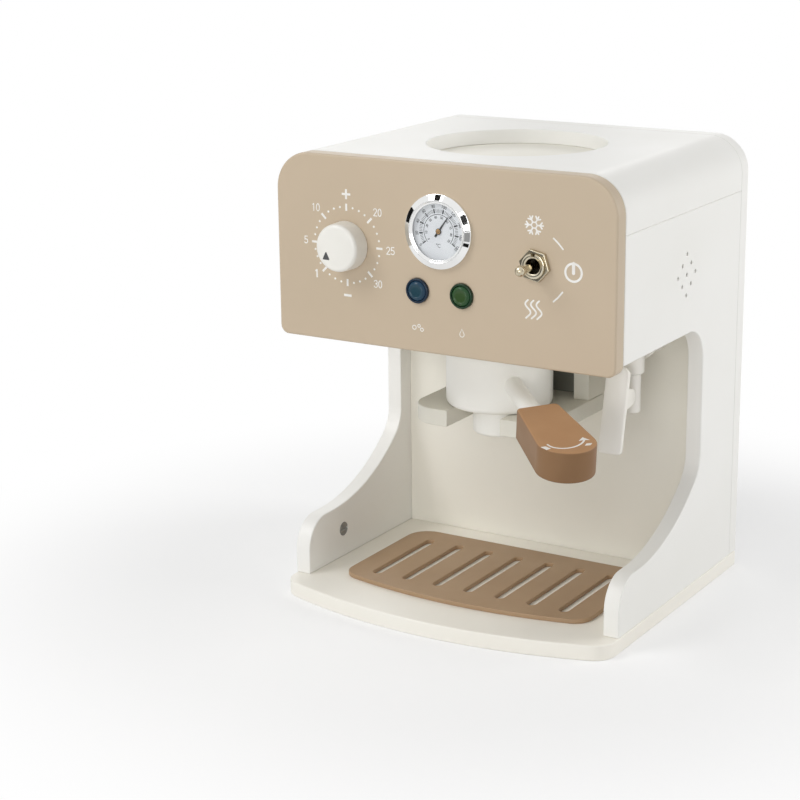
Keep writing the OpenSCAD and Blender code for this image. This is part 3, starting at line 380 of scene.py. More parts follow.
SNOW, HEAT, POWER = (50.3, 205.5), (50.2, 165.9), (70.6, 185.4)
signs = [ribbon(circle(*SNOW, 1.55, 30, 390, 6, closed=True), 0.75, closed=True)]
for arm in range(30, 390, 60):
    way, left, right = (np.array([math.sin(math.radians(a)), math.cos(math.radians(a))])
                        for a in (arm, arm - 50, arm + 50))
    signs += [ribbon([SNOW + 1.6 * way, SNOW + 4.6 * way], 0.75)]
    signs += [ribbon([SNOW + 2.9 * way, SNOW + 2.9 * way + 1.75 * side], 0.75)
              for side in (left, right)]
signs += [ribbon([(60.3, 200.3), (62.9, 198.1), (65.1, 195.7)], 0.8),
          ribbon([(65.1, 175.7), (63.0, 173.1), (60.5, 170.8)], 0.8),
          ribbon(circle(*POWER, 4.15, closed=True), 1.1, closed=True),
          ribbon([(POWER[0], POWER[1] + 4.2), (POWER[0], POWER[1] - 0.3)], 1.6)]
fall = np.linspace(0, 1, 24)
signs += [ribbon(np.stack([HEAT[0] + shift - 1.4 * np.sin(fall * 7.0),
                           HEAT[1] + 4.3 - 8.6 * fall], 1), 0.85) for shift in (-2.9, 0, 2.9)]
# Under the buttons: three bubbles for froth and a drop for coffee.
signs += [ribbon(circle(-14.2, 150.0, 1.0, closed=True), 0.4, closed=True),
          ribbon(circle(-11.6, 151.0, 0.7, closed=True), 0.4, closed=True),
          ribbon(circle(-10.0, 149.3, 0.8, closed=True), 0.4, closed=True),
          ribbon(np.concatenate([circle(12.1, 149.5, 1.2, 60, 300, 16), [(12.1, 152.2)]]), 0.4,
                 closed=True)]
FACE_Y = -66.4
printed("panel_print", scale + signs, (0, FACE_Y, 0), (1, 0, 0), (0, 0, 1), 0.05, "machine",
        "tan_panel", white_ink)

# ---------- Fork and brewing head ----------
# Under the head two posts carry a fork of 8.6 mm board. The turned wooden disc above it is the
# brewing head, against which the portafilter's cup turns.

# The fork and posts sit in the head's shade: their paint is drawn greyer, as painted shade.
fork_paint_painted_shade = uneven("greyed_white_paint_painted_shade", ("#E2DFD3", "#DCD9CD"), 50, (0.45, 0.55), 1.6,
                    0.012, more={"IOR": 1.5})
eased("fork_bracket", "fork_board", 0.6, "white_wood", fork_paint_painted_shade)
eased("post_left", "left_post", 0.4, "white_wood", fork_paint_painted_shade)
eased("post_right", "right_post", 0.4, "white_wood", fork_paint_painted_shade)


def rounded(corners, steps=5):
    """A profile from corners (r, h) or (r, h, radius). At a corner with a radius both edges
    stop at radius / tan(half the angle) from it, and an arc joins them."""
    flat = np.array([c[:2] for c in corners], float)
    out = [flat[:1]]
    for i in range(1, len(corners) - 1):
        if len(corners[i]) < 3:
            out.append(flat[i:i + 1])
            continue
        radius = corners[i][2]
        a, b = (v / np.linalg.norm(v) for v in (flat[i - 1] - flat[i], flat[i + 1] - flat[i]))
        half = math.acos(np.clip(a @ b, -1, 1)) / 2
        centre = flat[i] + (a + b) / np.linalg.norm(a + b) * radius / math.sin(half)
        start, end = (flat[i] + v * radius / math.tan(half) - centre for v in (a, b))
        whole = math.pi - 2 * half
        share = np.linspace(0, 1, steps + 1)[:, None]
        out.append(centre + (np.sin((1 - share) * whole) * start
                             + np.sin(share * whole) * end) / math.sin(whole))
    return np.concatenate(out + [flat[-1:]])


def turned(name, profile, origin, axis, body, slot, finish, *nodes, steps=96):
    """A turned shape. The profile's point (r, h) goes to origin + h axis + r (cos t u + sin t v)
    for t once round, where u and v are square to the axis. Points with no radius close up."""
    axis = np.asarray(axis, float) / np.linalg.norm(axis)
    u = np.cross(axis, (0, 0, 1) if abs(axis[2]) < 0.9 else (1, 0, 0))
    u /= np.linalg.norm(u)
    v = np.cross(axis, u)
    profile = np.asarray(profile, float)
    t = np.linspace(0, 2 * math.pi, steps, endpoint=False)[None, :, None]
    points = (np.asarray(origin, float) + profile[:, 1, None, None] * axis
              + profile[:, 0, None, None] * (np.cos(t) * u + np.sin(t) * v))
    grid = np.arange(len(profile) * steps).reshape(len(profile), steps)
    a, b = grid[:-1], grid[1:]
    quads = np.stack([a, b, np.roll(b, -1, 1), np.roll(a, -1, 1)], 2).reshape(-1, 4)
    mesh = solid_mesh(name, points.reshape(-1, 3), quads.tolist(), 1e-7)
    mesh.shade_smooth()
    mesh.set_sharp_from_angle(angle=math.radians(32))
    return add_piece(name, mesh, body, slot, finish, *nodes)


# Turned beech under several coats of the white paint: smoother than the boards.
wood_paint = uneven("painted_turned_wood", ("#F6F5EF", "#F4F2EB"), 30, (0.34, 0.42), 1.2, 0.008,
                    more={"IOR": 1.5})
BREW_Y, CUP_Z, CUP_TOP, HEAD_Z = -7.4, 100.5, 133.0, 142.0
turned("brewing_disc",
       rounded([(0, CUP_TOP + 2), (19.5, CUP_TOP + 2), (19.5, CUP_TOP + 0.2),
                (30, CUP_TOP + 0.2, 1), (30, HEAD_Z, 0.4), (0, HEAD_Z)]),
       (0, BREW_Y, 0), (0, 0, 1), "machine", "white_wood", wood_paint, "brew_head")

# ---------- Portafilter ----------
# The cup and the boss under it are turned from beech. A round dowel joins the cup to the
# handle, a flat block with a round end, painted brown and printed with a turning arrow.

# The cup's profile runs from the bore for the boss's tenon round the outside to the hollow.
turned("filter_cup",
       rounded([(0, 109), (4.3, 109), (4.3, CUP_Z), (27, CUP_Z, 2.8), (27, CUP_TOP, 0.8),
                (22.5, CUP_TOP, 0.5), (22.5, CUP_TOP - 9.5, 0.6), (0, CUP_TOP - 9.5)], 8),
       (0, BREW_Y, 0), (0, 0, 1), "portafilter", "white_wood", wood_paint,
       "portafilter_cup", "filter_ring")
turned("spout_boss", rounded([(0, 85.1), (13.5, 85.1, 2), (13.5, 100.4, 0.3), (4, 100.4),
                              (4, 108.5), (0, 108.5)]),
       (0, BREW_Y, 0), (0, 0, 1), "spout", "white_wood", wood_paint, "portafilter_spout")

TURN, DROOP = math.radians(44), math.radians(7)
stem_way = np.array([math.sin(TURN) * math.cos(DROOP), -math.cos(TURN) * math.cos(DROOP),
                     -math.sin(DROOP)])
handle_across = np.array([math.cos(TURN), math.sin(TURN), 0])
handle_up = np.cross(handle_across, -stem_way)
stem_start = np.array([0, BREW_Y, 119.1])
turned("filter_stem", [(0, 12), (4.7, 12), (4.7, 84.7), (0, 84.7)], stem_start, stem_way,
       "portafilter", "white_wood", wood_paint, "portafilter_stem", steps=48)


def inset(outline, depth):
    """A closed outline, anticlockwise, moved inwards: each corner slides along its mitre."""
    edge = np.roll(outline, -1, 0) - outline
    out = np.stack([edge[:, 1], -edge[:, 0]], 1) / np.linalg.norm(edge, axis=1)[:, None]
    before = np.roll(out, 1, 0)
    return outline - depth * (out + before) / (1 + (out * before).sum(1))[:, None]


def skinned(name, parts, body, slot, finish, *nodes):
    """Closed skins. Each part is a stack of rings of as many points, joined ring to ring by
    quads, and closed at both ends by a face, or by itself where a ring has shut to a line."""
    points, faces, first = [], [], 0
    for rings in parts:
        count, n = rings.shape[:2]
        grid = np.arange(count * n).reshape(count, n) + first
        a, b = grid[:-1], grid[1:]
        faces += np.stack([a, np.roll(a, -1, 1), np.roll(b, -1, 1), b], 2).reshape(-1, 4).tolist()
        faces += [way.tolist() for way, ring in ((grid[0][::-1], rings[0]), (grid[-1], rings[-1]))
                  if np.linalg.matrix_rank(ring - ring.mean(0), 1e-6) > 1]
        points.append(rings.reshape(-1, 3))
        first += count * n
    mesh = solid_mesh(name, np.concatenate(points), faces, 1e-6)
    mesh.shade_smooth()
    mesh.set_sharp_from_angle(angle=math.radians(40))
    return add_piece(name, mesh, body, slot, finish, *nodes)


# Satin brown paint on the block, its colour a little cloudy; its sides drawn darker as painted
# shade.
brown_paint = uneven("satin_brown_paint", ("#BB926B", "#B48B65"), 25, (0.42, 0.5), 1.2, 0.012,
                     sides=0.54, more={"IOR": 1.5, "Specular IOR Level": 0.15})
# The block's outline, across and along the stem: a near end sawn a little askew, two flat
# sides and a round end. Its edges are rounded over by 1 mm.
outline = np.concatenate([circle(1.0, 112, 14, 97, -93, 60),
                          rounded([(-12.98, 111.3), (-11.2, 70.9, 2.4), (9.9, 67.3, 2.6),
                                   (14.9, 110.3)], 6)[1:-1]])
quarter = np.radians(np.linspace(0, 90, 5))
block = [(0, 2.2), (0, 1.6)] + [(1 - math.cos(q), 1 - math.sin(q)) for q in quarter]
block = [(-8.3 + h, d) for h, d in block] + [(6.95 - h, d) for h, d in block[::-1]]
skinned("handle_block", [np.array([
    stem_start + h * handle_up + inset(outline, d) @ np.array([handle_across, stem_way])
    for h, d in block])], "portafilter", "brown_wood", brown_paint, "portafilter_handle")
# The arrow's stroke runs through these points (across, along the stem): both are polynomials
# of the share of the way. The head and the two lozenges beside it are plain outlines.
path = np.array([(-8.61, 114.51), (-7.06, 117.86), (-3.17, 120.04), (1.35, 119.52),
                 (5.61, 117.13), (8.95, 113.63), (9.2, 112.4)])
share = np.concatenate([[0], np.cumsum(np.linalg.norm(np.diff(path, axis=0), axis=1))])
curve = np.polynomial.polynomial.polyfit(share, path, 4)
steps = np.linspace(0, share[-1], 30)
arrow = [ribbon(np.polynomial.polynomial.polyval(steps, curve).T, 0.95),
         np.array([(9.37, 109.4), (11.8, 113.1), (9.2, 112.5), (6.5, 113.1)]),
         np.array([(-12.4, 116.7), (-10.1, 116.3), (-8.4, 119.1), (-10.7, 120.1)]),
         np.array([(7.6, 118.8), (9.1, 116.5), (11.85, 116.5), (10.4, 118.6)])]
printed("handle_print", arrow, stem_start + 6.95 * handle_up, handle_across, stem_way, 0.05,
        "portafilter", "brown_wood", white_ink)

# ---------- Tap ----------
# The tap is injection-moulded ABS: a barrel with a flange and a nut behind the partition, an
# outlet tube, and a paddle that pivots on a steel pin.

# ABS from a polished mould: a clean, fairly glossy white with no grain to feel.
tap_plastic = uneven("white_abs", ("#F7F4ED", "#F4F1EA"), 30, (0.33, 0.37), 4, 0.002,
                     more={"IOR": 1.53})
eased("tap_body", "tap_barrel", 0.12, "tap_white", tap_plastic, limit=50, small=0)


# The paddle: its back is flat, its front bowed about an upright axis, and its outline
# round-cornered. From the rounded rim each side closes towards an upright middle line.
PIN, LEAN = np.array([61.0, 9.1, 106.5]), math.radians(12)
WIDE, LOW, HIGH, BACK, FRONT, BOW, RIM = 6.25, -27.5, 16.0, -7.3, -11.3, 16.0, 0.9
half = np.concatenate([[(0, LOW)], (WIDE - 2, LOW + 2) + 2 * circle(0, 0, 1, 180, 90, 6),
                       [(WIDE, z) for z in np.linspace(LOW + 4, HIGH - 6, 9)],
                       (WIDE - 4, HIGH - 4) + 4 * circle(0, 0, 1, 90, 0, 9), [(0, HIGH)]])
outline = np.concatenate([half, half[-2:0:-1] * (-1, 1)])
rings = []
for side, closing in ((1, (0.0, 0.45, 0.75, 1.0)), (-1, (1.0, 0.8, 0.6, 0.4, 0.2, 0.0))):
    edge = inset(outline, RIM)
    spine = np.stack([0 * edge[:, 0], np.clip(edge[:, 1], LOW + WIDE, HIGH - WIDE)], 1)
    shut = [(spine + (edge - spine) * k, 0.0) for k in closing]
    rim = [(inset(outline, RIM * (1 - math.sin(q))), RIM * (1 - math.cos(q))) for q in quarter[1:]]
    for flat, rise in (shut + rim if side > 0 else rim[::-1] + shut):
        bowed = FRONT + BOW - np.sqrt(BOW ** 2 - flat[:, 0] ** 2) + rise
        rings.append(np.stack([flat[:, 0], bowed if side < 0 else np.full(len(flat), BACK - rise),
                               flat[:, 1]], 1))
# Two cheeks behind it take the pin.
cheek = np.concatenate([[(-7.8, 5.3), (-7.8, -6.6)], (0, 0.8) + 4.5 * circle(0, 0, 1, 140, 0, 16)])
lever = [np.array(rings)]
for low, high in ((-4.56, -1.7), (1.7, 4.56)):
    lever.append(np.array([np.concatenate([np.full((len(cheek), 1), x), inset(cheek, d)], 1)
                           for x, d in ((low, 0.4), (low + 0.12, 0.12), (low + 0.4, 0),
                                        (high - 0.4, 0), (high - 0.12, 0.12), (high, 0.4))]))
tip = np.array([[1, 0, 0], [0, math.cos(LEAN), math.sin(LEAN)],
                [0, -math.sin(LEAN), math.cos(LEAN)]])
skinned("tap_paddle", [PIN + part @ tip.T for part in lever], "tap_handle", "tap_white",
        tap_plastic, "tap_lever")
eased("tap_nut", "tap_back_nut", 0.4, "tap_nut", tap_plastic)
# Bright drawn steel, with fine lines along the wire.
pin_steel = uneven("drawn_steel", ("#C9CBCD", "#B9BBBE"), 2, (0.2, 0.3), 0.3, 0.003,
                   stretch=(0.1, 1, 1), more={"Metallic": 1.0})
dress(pin_steel, "tap_pin")

# ---------- Timer knob ----------
# The knob is turned from beech, rounded over at the front and lacquered cream. It turns on a
# beech spindle held by a washer and a screw behind the panel.

cream_lacquer = uneven("cream_lacquer", ("#F0EEE7", "#ECEAE3"), 15, (0.3, 0.38), 1.0, 0.008,
                       more={"IOR": 1.5})
OUT = (0, -1, 0)
turned("cream_knob",
       rounded([(0, 0.2), (12, 0.2, 0.4), (11.6, 10.3, 2.0), (0, 10.3)], 8),
       (KNOB[0], FACE_Y, KNOB[1]), OUT, "knob", "knob_cream", cream_lacquer, "timer_knob")
# Flat grey ink on the knob's face.
grey_ink = uneven("grey_screen_ink", ("#4E4F50", "#474849"), 3, (0.5, 0.6), 0.5, 0.003,
                  more={"IOR": 1.5})
mark = rounded([(-5.4, -5.9), (-3.35, -5.9, 0.35), (-5.45, -1.7, 0.35), (-7.55, -5.9, 0.35),
                (-5.4, -5.9)], 4)[1:-1]
printed("knob_print", [mark], (KNOB[0], FACE_Y - 10.3, KNOB[1]), (1, 0, 0), (0, 0, 1), 0.04,
        "knob", "knob_cream", grey_ink)
dress(beech, "knob_spindle")
dress(zinc, "knob_washer", "knob_screw")

# ---------- Thermometer ----------
# A bimetal thermometer, as sold for barbecues: a chromed brass bezel with a sloping face, a
# white card dial under glass, a black pointer on a brass hub and a coil in the case behind.

# Polished chrome plate: a mirror, faintly blue.
chrome = uneven("chrome_plate", ("#EDEDEC", "#E6E7E6"), 10, (0.03, 0.06), 5, 0.001,
                more={"Metallic": 1.0})
GAUGE = (0, FACE_Y, 198.0)
turned("chrome_bezel",
       rounded([(14.4, 0), (18, 0), (18, 1.7, 0.35), (17.57, 1.901), (15.33, 2.949),
                (14.9, 3.15, 0.45), (14.3, 2.5, 0.15),
                (13.5, 2.3, 0.15), (13.5, 1.98), (14.4, 1.98), (14.4, 0)], 6),
       GAUGE, OUT, "machine", "bezel_chrome", chrome, "gauge_bezel", steps=128)
# Printed card, white with a cool cast.
card = uneven("dial_card", ("#ECEAF0", "#E5E3EA"), 8, (0.6, 0.7), 0.5, 0.003, more={"IOR": 1.5})
turned("dial_disc", [(0.65, 0), (14.3, 0), (14.3, 0.4), (0.65, 0.4), (0.65, 0)], GAUGE, OUT,
       "machine", "dial_card", card, "gauge_dial")
black_ink = uneven("black_dial_ink", ("#2A2B30", "#33343A"), 3, (0.5, 0.6), 0.5, 0.003,
                   more={"IOR": 1.5})
dial = [ribbon(circle(0, 0, 8.1, -130, 130, 72), 0.28)]
dial += [spoke(0, 0, 8.95, 10.6, a, 0.2) for a in np.arange(-126, 126.1, 4.2)]
dial += [spoke(0, 0, 8.75, 10.9, a, 0.6) for a in np.arange(-126, 126.1, 28)]
for i, angle in enumerate(range(-126, 127, 28)):
    way = np.array([math.sin(math.radians(angle)), math.cos(math.radians(angle))])
    dial += number(str(20 * i), *(12.1 * way), 1.35, 0.22, angle)
    dial += number(str(10 * i), *(6.8 * way), 1.05, 0.2, angle)
# The sign for degrees Celsius: a small ring and an open one.
dial += [ribbon(circle(-1.1, -6.1, 0.3, steps=10, closed=True), 0.16, closed=True),
         ribbon(circle(0.3, -6.8, 0.8, 45, -225, 18), 0.22)]
printed("dial_print", dial, (0, FACE_Y - 0.4, GAUGE[2]), (1, 0, 0), (0, 0, 1), 0.012, "machine",
        "dial_card", black_ink)
# Black stoved enamel on the stamped pointer; brass for the hub and the coil.
black_enamel = uneven("black_enamel", ("#1B1B1D", "#222225"), 4, (0.3, 0.4), 0.5, 0.002,
                      more={"IOR": 1.5})
brass = uneven("polished_brass", ("#A98458", "#9B774E"), 2, (0.18, 0.3), 0.4, 0.003,
               more={"Metallic": 1.0})
dress(black_enamel, "gauge_pointer")
dress(brass, "gauge_hub", "gauge_coil")


def clear(name, tint, rough, ior, more=()):
    """A clear body: light for shadows and for diffuse bounces passes straight through it, so
    that what lies behind keeps its light, and all other rays see gloss and refraction."""
    material, tree = blank(name)
    shader = put(tree, "BsdfPrincipled", {
        "Base Color": linear(tint), "Roughness": rough, "IOR": ior, "Transmission Weight": 1.0,
        **dict(more)})
    path = put(tree, "LightPath")
    either = put(tree, "Math", {0: (path, "Is Shadow Ray"), 1: (path, "Is Diffuse Ray")},
                 operation="MAXIMUM")
    through = put(tree, "BsdfTransparent", {"Color": linear(tint)})
    mix = put(tree, "MixShader", {0: (either, 0), 1: (shader, 0), 2: (through, 0)})
    put(tree, "OutputMaterial", {"Surface": (mix, 0)})
    return material


# Thin flat instrument glass, clear with a faint green edge.
glass = clear("instrument_glass", "#FBFDFC", 0.0, 1.45)
dress(glass, "gauge_glass")
case_plastic = uneven("grey_abs", ("#ECEAE4", "#E8E6E0"), 12, (0.4, 0.5), 0.8, 0.01,
                      more={"IOR": 1.53})
dress(case_plastic, "gauge_case")

# ---------- Push buttons ----------
# Two small push buttons in tinted clear plastic, one blue and one green: a barrel with a
# rim, and a low domed cap with a flat ring pressed into it.

BUTTON_Z = 168.2
SIDE = {"blue": "left", "green": "right"}


def tinted(name, middle, edge, x):
    """Tinted clear plastic seen from in front. Its colour is painted light: it goes from a greyer,
    lighter one at the button's middle to a purer one 5 mm out, for the light that comes back
    from inside, and its gloss is sharp."""
    material, tree = blank(name)
    place = put(tree, "Mapping", {"Vector": (put(tree, "TexCoord"), "Object"),
                                  "Location": (-x * MM, 0, -BUTTON_Z * MM), "Scale": (1, 0, 1)})
    out = put(tree, "VectorMath", {0: (place, 0)}, operation="LENGTH")
    share = put(tree, "MapRange", {0: (out, "Value"), 1: 0.0025, 2: 0.005})
    tint = put(tree, "Mix", {0: (share, 0), 6: linear(middle), 7: linear(edge)}, data_type="RGBA")
    shader = put(tree, "BsdfPrincipled", {"Base Color": (tint, 2), "Roughness": 0.16, "IOR": 1.58,
                                          "Specular IOR Level": 0.25})
    put(tree, "OutputMaterial", {"Surface": (shader, 0)})
    return material


def button(side, x, middle, edge, rim, body):
    """A push button: the fixed barrel with its rim, and the dished cap that slides in it."""
    place = (x, FACE_Y, BUTTON_Z)
    turned(side + "_button_rim",
           rounded([(0, -14), (5.6, -14), (5.6, 0), (6.1, 0), (6.1, 1.3, 0.5), (5.0, 1.5, 0.3),
                    (4.95, -3.3), (3.3, -3.3), (3.3, -11), (0, -11)]),
           place, OUT, "machine", "rim_" + side,
           tinted(side + "_rim_polycarbonate", rim, rim, x), "button_rim_" + SIDE[side], steps=64)
    turned(side + "_button_cap",
           rounded([(0, -7.5), (3.2, -7.5), (3.2, -1.6), (4.8, -1.6), (4.8, 1.1, 0.4),
                    (3.5, 2.35, 0.6), (2.9, 1.95, 0.4), (1.5, 1.9), (0, 1.9)]),
           place, OUT, body, "cap_" + side, tinted(side + "_cap_polycarbonate", middle, edge, x),
           "button_" + SIDE[side], steps=64)


button("blue", -12.1, "#23424E", "#123A57", "#0C2439", "blue_button")
button("green", 12.1, "#344E28", "#1A4D28", "#0F3219", "green_button")
dress(zinc, "button_nuts")

# ---------- Toggle switch ----------
# A standard metal toggle switch in nickel-plated brass: a hexagonal nut, a threaded bushing
# with a deep bore, and a bat lever that ends in a ball.

# Bright nickel over brass, so the mirror is warm, and cloudy where it was handled.
nickel = uneven("nickel_plate", ("#CFC7B4", "#BDB299"), 3, (0.08, 0.18), 0.8, 0.004,
                more={"Metallic": 1.0})
TOGGLE = (51.2, FACE_Y, 186.9)
eased("toggle_nut", "hexagonal_nut", 0.45, "toggle_metal", nickel, limit=25)
# The bushing: a thread with a keyway cut down its top, and a blind bore with a dished mouth.
grooved = np.concatenate([circle(0, 0, 5.9, -10.7, -349.3, 60), circle(0, 0, 4.6, 9.5, -9.5, 2)])
way = grooved / np.linalg.norm(grooved, axis=1)[:, None]
rings = [(-12, grooved)] + [(0.3 * i, inset(grooved, 0.22 * (i % 2))) for i in range(8)]
rings += [(h, inset(grooved, d)) for h, d in ((2.85, 0), (3.1, 0.1), (3.2, 0.35))]
rings += [(h, r * way) for h, r in ((3.2, 4.1), (3.1, 3.85), (2.9, 3.72), (2.3, 3.68), (-1, 3.4),
                                    (-11.5, 3.4))]
skinned("switch_bushing", [np.array([
    np.stack([ring[:, 0], np.full(len(ring), -h), ring[:, 1]], 1) + TOGGLE for h, ring in rings])],
    "machine", "toggle_metal", nickel)
# The switch behind the panel: a moulded box of phenolic resin, dull black.
phenolic = uneven("black_phenolic", ("#202124", "#27282B"), 6, (0.4, 0.5), 0.6, 0.01,
                  more={"IOR": 1.55})
side = np.array([(-6.5, -8), (6.5, -8), (6.5, 8), (-6.5, 8)])
skinned("switch_box", [np.array([[(TOGGLE[0] + x, FACE_Y + 8.7 + y, TOGGLE[2] + z)
                                  for x, z in inset(side, d)]
                                 for d, y in ((0, 0), (0, 12), (0.25, 12.65), (0.9, 12.9))])],
        "machine", "toggle_metal", phenolic, "toggle_body")
# The lever: a seat deep in the bore, a stem that widens outwards, and a ball.
ball = np.radians(np.linspace(-46, 90, 16))
turned("bat_lever",
       np.concatenate([[(0, -7), (0.9, -7), (0.9, -4.6), (1.9, -4.3), (2.1, -3.3), (1.8, -2.3),
                        (1.3, -1.1)],
                       rounded([(1.3, -0.5), (1.75, 5.5, 5), (1.95, 11.6, 3), (1.8, 12.4)]),
                       np.stack([2.6 * np.cos(ball), 14.8 + 2.6 * np.sin(ball)], 1)]),
       TOGGLE, OUT, "toggle", "toggle_metal", nickel, "toggle_lever", steps=48)

# ---------- Loudspeaker and sound unit ----------
# Inside the right wall sits a small loudspeaker in a stamped basket. The sound unit is a
# case on the fork, between the posts, with its circuit board inside. Its dark grey is
# painted shade: it stands for the deep shade in the gap behind the cup.

speaker_steel = uneven("black_stamped_steel", ("#2A2B2E", "#34363A"), 8, (0.4, 0.5), 0.5, 0.01,
                       more={"IOR": 1.5})
cone_paper = uneven("cone_paper", ("#4A4A49", "#3E3E3D"), 2, (0.8, 0.9), 0.3, 0.03,
                    more={"IOR": 1.4})
solder_mask = uneven("green_solder_mask", ("#2C6A43", "#25603B"), 6, (0.25, 0.35), 1.0, 0.01,
                     more={"IOR": 1.55})
dress(speaker_steel, "speaker_frame")
dress(cone_paper, "speaker_cone")
dress(zinc, "speaker_screws")
# Painted shade: the case's dark grey darkens the gap behind the cup.
case_abs_painted_shade = uneven("grey_abs_painted_shade", ("#8D8D84", "#818178"), 10, (0.45, 0.55), 0.6, 0.01,
                  more={"IOR": 1.53})
eased("sound_case", "sound_box", 0.6, "black_plastic", case_abs_painted_shade)
dress(solder_mask, "sound_board")

# ---------- Batteries ----------
# Three small cells lie in an ABS case let into the back board, behind a door with grip lines
# and one cross-head screw.

eased("battery_case", "battery_box", 0.3, "battery_case", case_plastic)
eased("battery_door", "battery_lid", 0.1, "battery_case", case_plastic, small=0)
eased("door_screw", "lid_screw", 0.1, "contact_metal", zinc)
contact = uneven("nickel_strip", ("#C9CACB", "#BDBEC0"), 3, (0.2, 0.35), 0.5, 0.003,
                 more={"Metallic": 1.0})
dress(contact, "battery_contacts")
wrap = uneven("cell_wrap", ("#4F7F9A", "#477690"), 6, (0.25, 0.3), 1.5, 0.004,
              more={"IOR": 1.5})
dress(wrap, "batteries")

# ---------- Drip tray ----------
# A loose 2.4 mm board with seven round-ended slots and a bowed front, painted a greyer brown
# than the handle.

tray_paint = uneven("sprayed_tray_paint", ("#AB8E6E", "#A48768"), 40, (0.42, 0.5), 1.3, 0.015,
                    more={"IOR": 1.5})
eased("drip_tray", "slotted_tray", 0.5, "brown_tray", tray_paint, small=0)

# ---------- Floor, light and camera ----------
# A white floor that runs out into a white room, four large soft lamps, and dark cards that
# give the bright metals something to reflect.

SPAN = 3.0  # half the floor's side, in metres
floor_mesh = bpy.data.meshes.new("studio_floor")
floor_mesh.from_pydata([(-SPAN, -SPAN, 0), (SPAN, -SPAN, 0), (SPAN, SPAN, 0), (-SPAN, SPAN, 0)],
                       [], [(0, 1, 2, 3)])
linked("studio_floor", floor_mesh)


def looked_at(tree):
    """A node that gives 1 to the rays that a viewer or a mirror or glass looks along, else 0."""
    path = put(tree, "LightPath")
    seen = put(tree, "Math", {0: (path, "Is Camera Ray"), 1: (path, "Is Glossy Ray")},
               operation="MAXIMUM")
    return put(tree, "Math", {0: (seen, 0), 1: (path, "Is Transmission Ray")},
               operation="MAXIMUM")


# White paper. Seen from the lens it fades into the white room away from the toy, so that only
# the shadows near the toy show.
paper, tree = blank("white_floor_paper")
seen = looked_at(tree)
away = put(tree, "VectorMath", {0: (put(tree, "NewGeometry"), "Position")}, operation="LENGTH")
NEAR, FAR, VEIL = 0.16, 0.34, 0.4  # metres from the toy's middle, and the fade at NEAR
far = put(tree, "MapRange", {0: (away, "Value"), 1: NEAR, 2: FAR, 3: VEIL},
          interpolation_type="SMOOTHSTEP")
amount = put(tree, "Math", {0: (seen, 0), 1: (far, 0)}, operation="MULTIPLY")
# It gives back 85 per cent of the light, so that it doesn't brighten the toy from below too much.
grey = put(tree, "MapRange", {0: (seen, 0), 3: 0.85})
matt = put(tree, "BsdfDiffuse", {"Color": (grey, 0)})
bright = put(tree, "Emission", {"Color": (1, 1, 1, 1), "Strength": 1.0})
put(tree, "OutputMaterial", {"Surface": (put(tree, "MixShader", {
    0: (amount, 0), 1: (matt, 0), 2: (bright, 0)}), 0)})
floor_mesh.materials.append(paper)

world = bpy.data.worlds.new("white_room")
world.use_nodes = True
bpy.context.scene.world = world
tree = world.node_tree
tree.nodes.clear()
# The room looks plain white, and lights the toy from all sides with a third of that.
level = put(tree, "MapRange", {0: (looked_at(tree), 0), 3: 0.34, 4: 1.0})
room = put(tree, "Background", {"Color": (1, 1, 1, 1), "Strength": (level, 0)})
put(tree, "OutputWorld", {"Surface": (room, 0)})


def lamp(name, place, aim, size, watts):
    """A square soft lamp at place, facing aim, in metres."""
    light = bpy.data.lights.new(name, "AREA")
    light.size, light.energy = size, watts
    holder = linked(name, light)
    way = Vector(aim) - Vector(place)
    turn = way.to_track_quat("-Z", "Y").to_matrix().to_4x4()
    holder.matrix_world = Matrix.Translation(place) @ turn


def towards(azimuth, elevation, reach, start=(0, 0, 0.1)):
    """The point reach metres from start; azimuth 0 is in front and 90 on the right."""
    turn, rise = math.radians(azimuth), math.radians(elevation)
    return np.array(start) + reach * np.array([math.sin(turn) * math.cos(rise),
                                               -math.cos(turn) * math.cos(rise), math.sin(rise)])


# Each lamp's watts are pi squared, times the distance squared, times the share of a plain level
# that it gives a surface that faces it.
LAMP_REACH, LAMP_SIZE = 1.9, 0.9
for name, azimuth, elevation, share in (
        ("key_lamp", -40, 44, 0.36), ("low_lamp", 10, 9, 0.28), ("side_lamp", 122, 18, 0.42),
        ("back_lamp", -150, 30, 0.12)):
    lamp(name, towards(azimuth, elevation, LAMP_REACH), (0, 0, 0.1), LAMP_SIZE,
         (math.pi * LAMP_REACH) ** 2 * share)

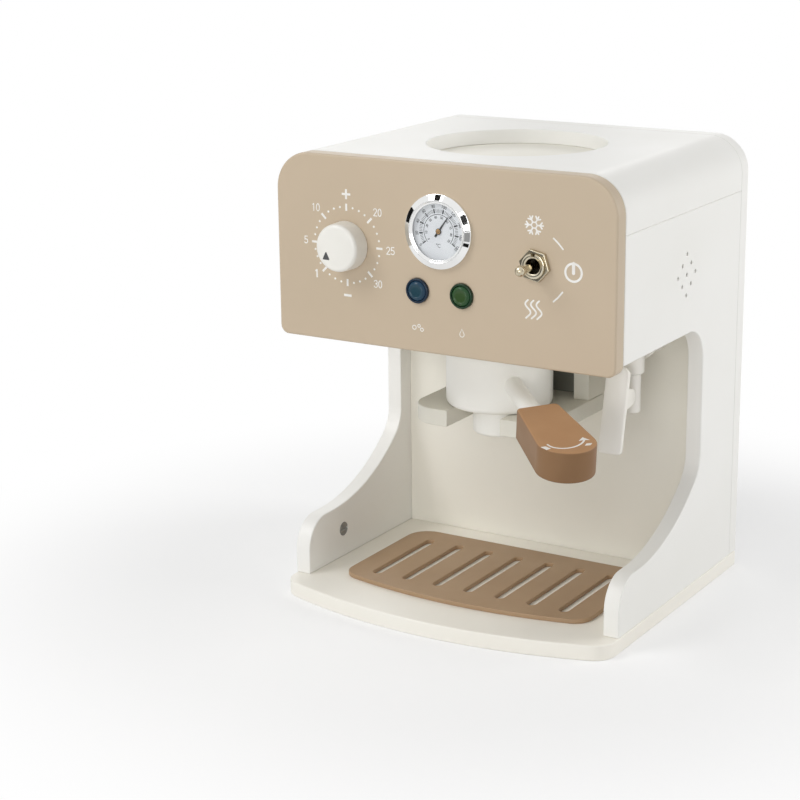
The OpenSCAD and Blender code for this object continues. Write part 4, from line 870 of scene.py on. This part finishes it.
# Flags: cards round the set that only bright metal and gloss can see, so that the chrome and
# the nickel show dark bands. Each is (azimuth, elevation, metres, width, height, shade).
eye = (0, -0.066, 0.198)  # the thermometer's face
for i, (azimuth, elevation, reach, wide, high, shade) in enumerate((
        (-34.5, 32, 1.2, 0.2, 0.3, 0.01), (-75.5, 2, 1.2, 0.23, 0.3, 0.01),
        (-81, -15, 0.4, 0.08, 0.13, 0.3), (15, 10.5, 1.2, 0.19, 0.28, 0.02),
        (20, -4.7, 1.2, 0.15, 0.04, 0.01), (20, -13.5, 0.5, 0.07, 0.12, 0.35),
        (17.8, -25.5, 0.36, 0.05, 0.034, 0.01), (-30, -12, 0.6, 0.2, 0.12, 0.12),
        (78, 12, 1.2, 0.2, 0.5, 0.02), (150, 12, 1.2, 0.25, 0.5, 0.02),
        (205, 20, 1.2, 0.15, 0.5, 0.02), (265, 12, 1.2, 0.2, 0.5, 0.02))):
    middle = towards(azimuth, elevation, reach, eye)
    across = towards(azimuth + 90, 0, 1, (0, 0, 0))
    upward = np.cross(across, middle - eye)
    upward *= high / 2 / np.linalg.norm(upward)
    corners = [middle + a * across * wide / 2 + b * upward
               for a, b in ((-1, -1), (1, -1), (1, 1), (-1, 1))]
    mesh = bpy.data.meshes.new("flag_%d" % i)
    mesh.from_pydata(corners, [], [(0, 1, 2, 3)])
    card_stock, tree = blank("flag_card_%d" % i)
    put(tree, "OutputMaterial", {"Surface": (put(tree, "Emission", {"Strength": shade}), 0)})
    mesh.materials.append(card_stock)
    flag = linked("flag_%d" % i, mesh)
    flag.visible_camera = flag.visible_diffuse = flag.visible_shadow = False
    flag.visible_transmission = False

camera_data = bpy.data.cameras.new("camera")
camera_data.lens, camera_data.sensor_width = 91.79, 36
camera = linked("camera", camera_data)
bpy.context.scene.camera = camera
azimuth, elevation, roll = (math.radians(a) for a in (31.707, 15.678, -0.66))
back = Vector((math.sin(azimuth) * math.cos(elevation), -math.cos(azimuth) * math.cos(elevation),
               math.sin(elevation)))
right = Vector((math.cos(azimuth), math.sin(azimuth), 0))
up = back.cross(right)
tilt_right = right * math.cos(roll) + up * math.sin(roll)
tilt_up = up * math.cos(roll) - right * math.sin(roll)
AIM, DISTANCE = Vector((-0.066055, 0.0036, 0.089461)), 1.078634  # in metres
stand = AIM + back * DISTANCE
camera.matrix_world = Matrix.Translation(stand) @ Matrix(
    (tilt_right, tilt_up, back)).transposed().to_4x4()

bpy.context.scene.view_settings.view_transform = "Standard"
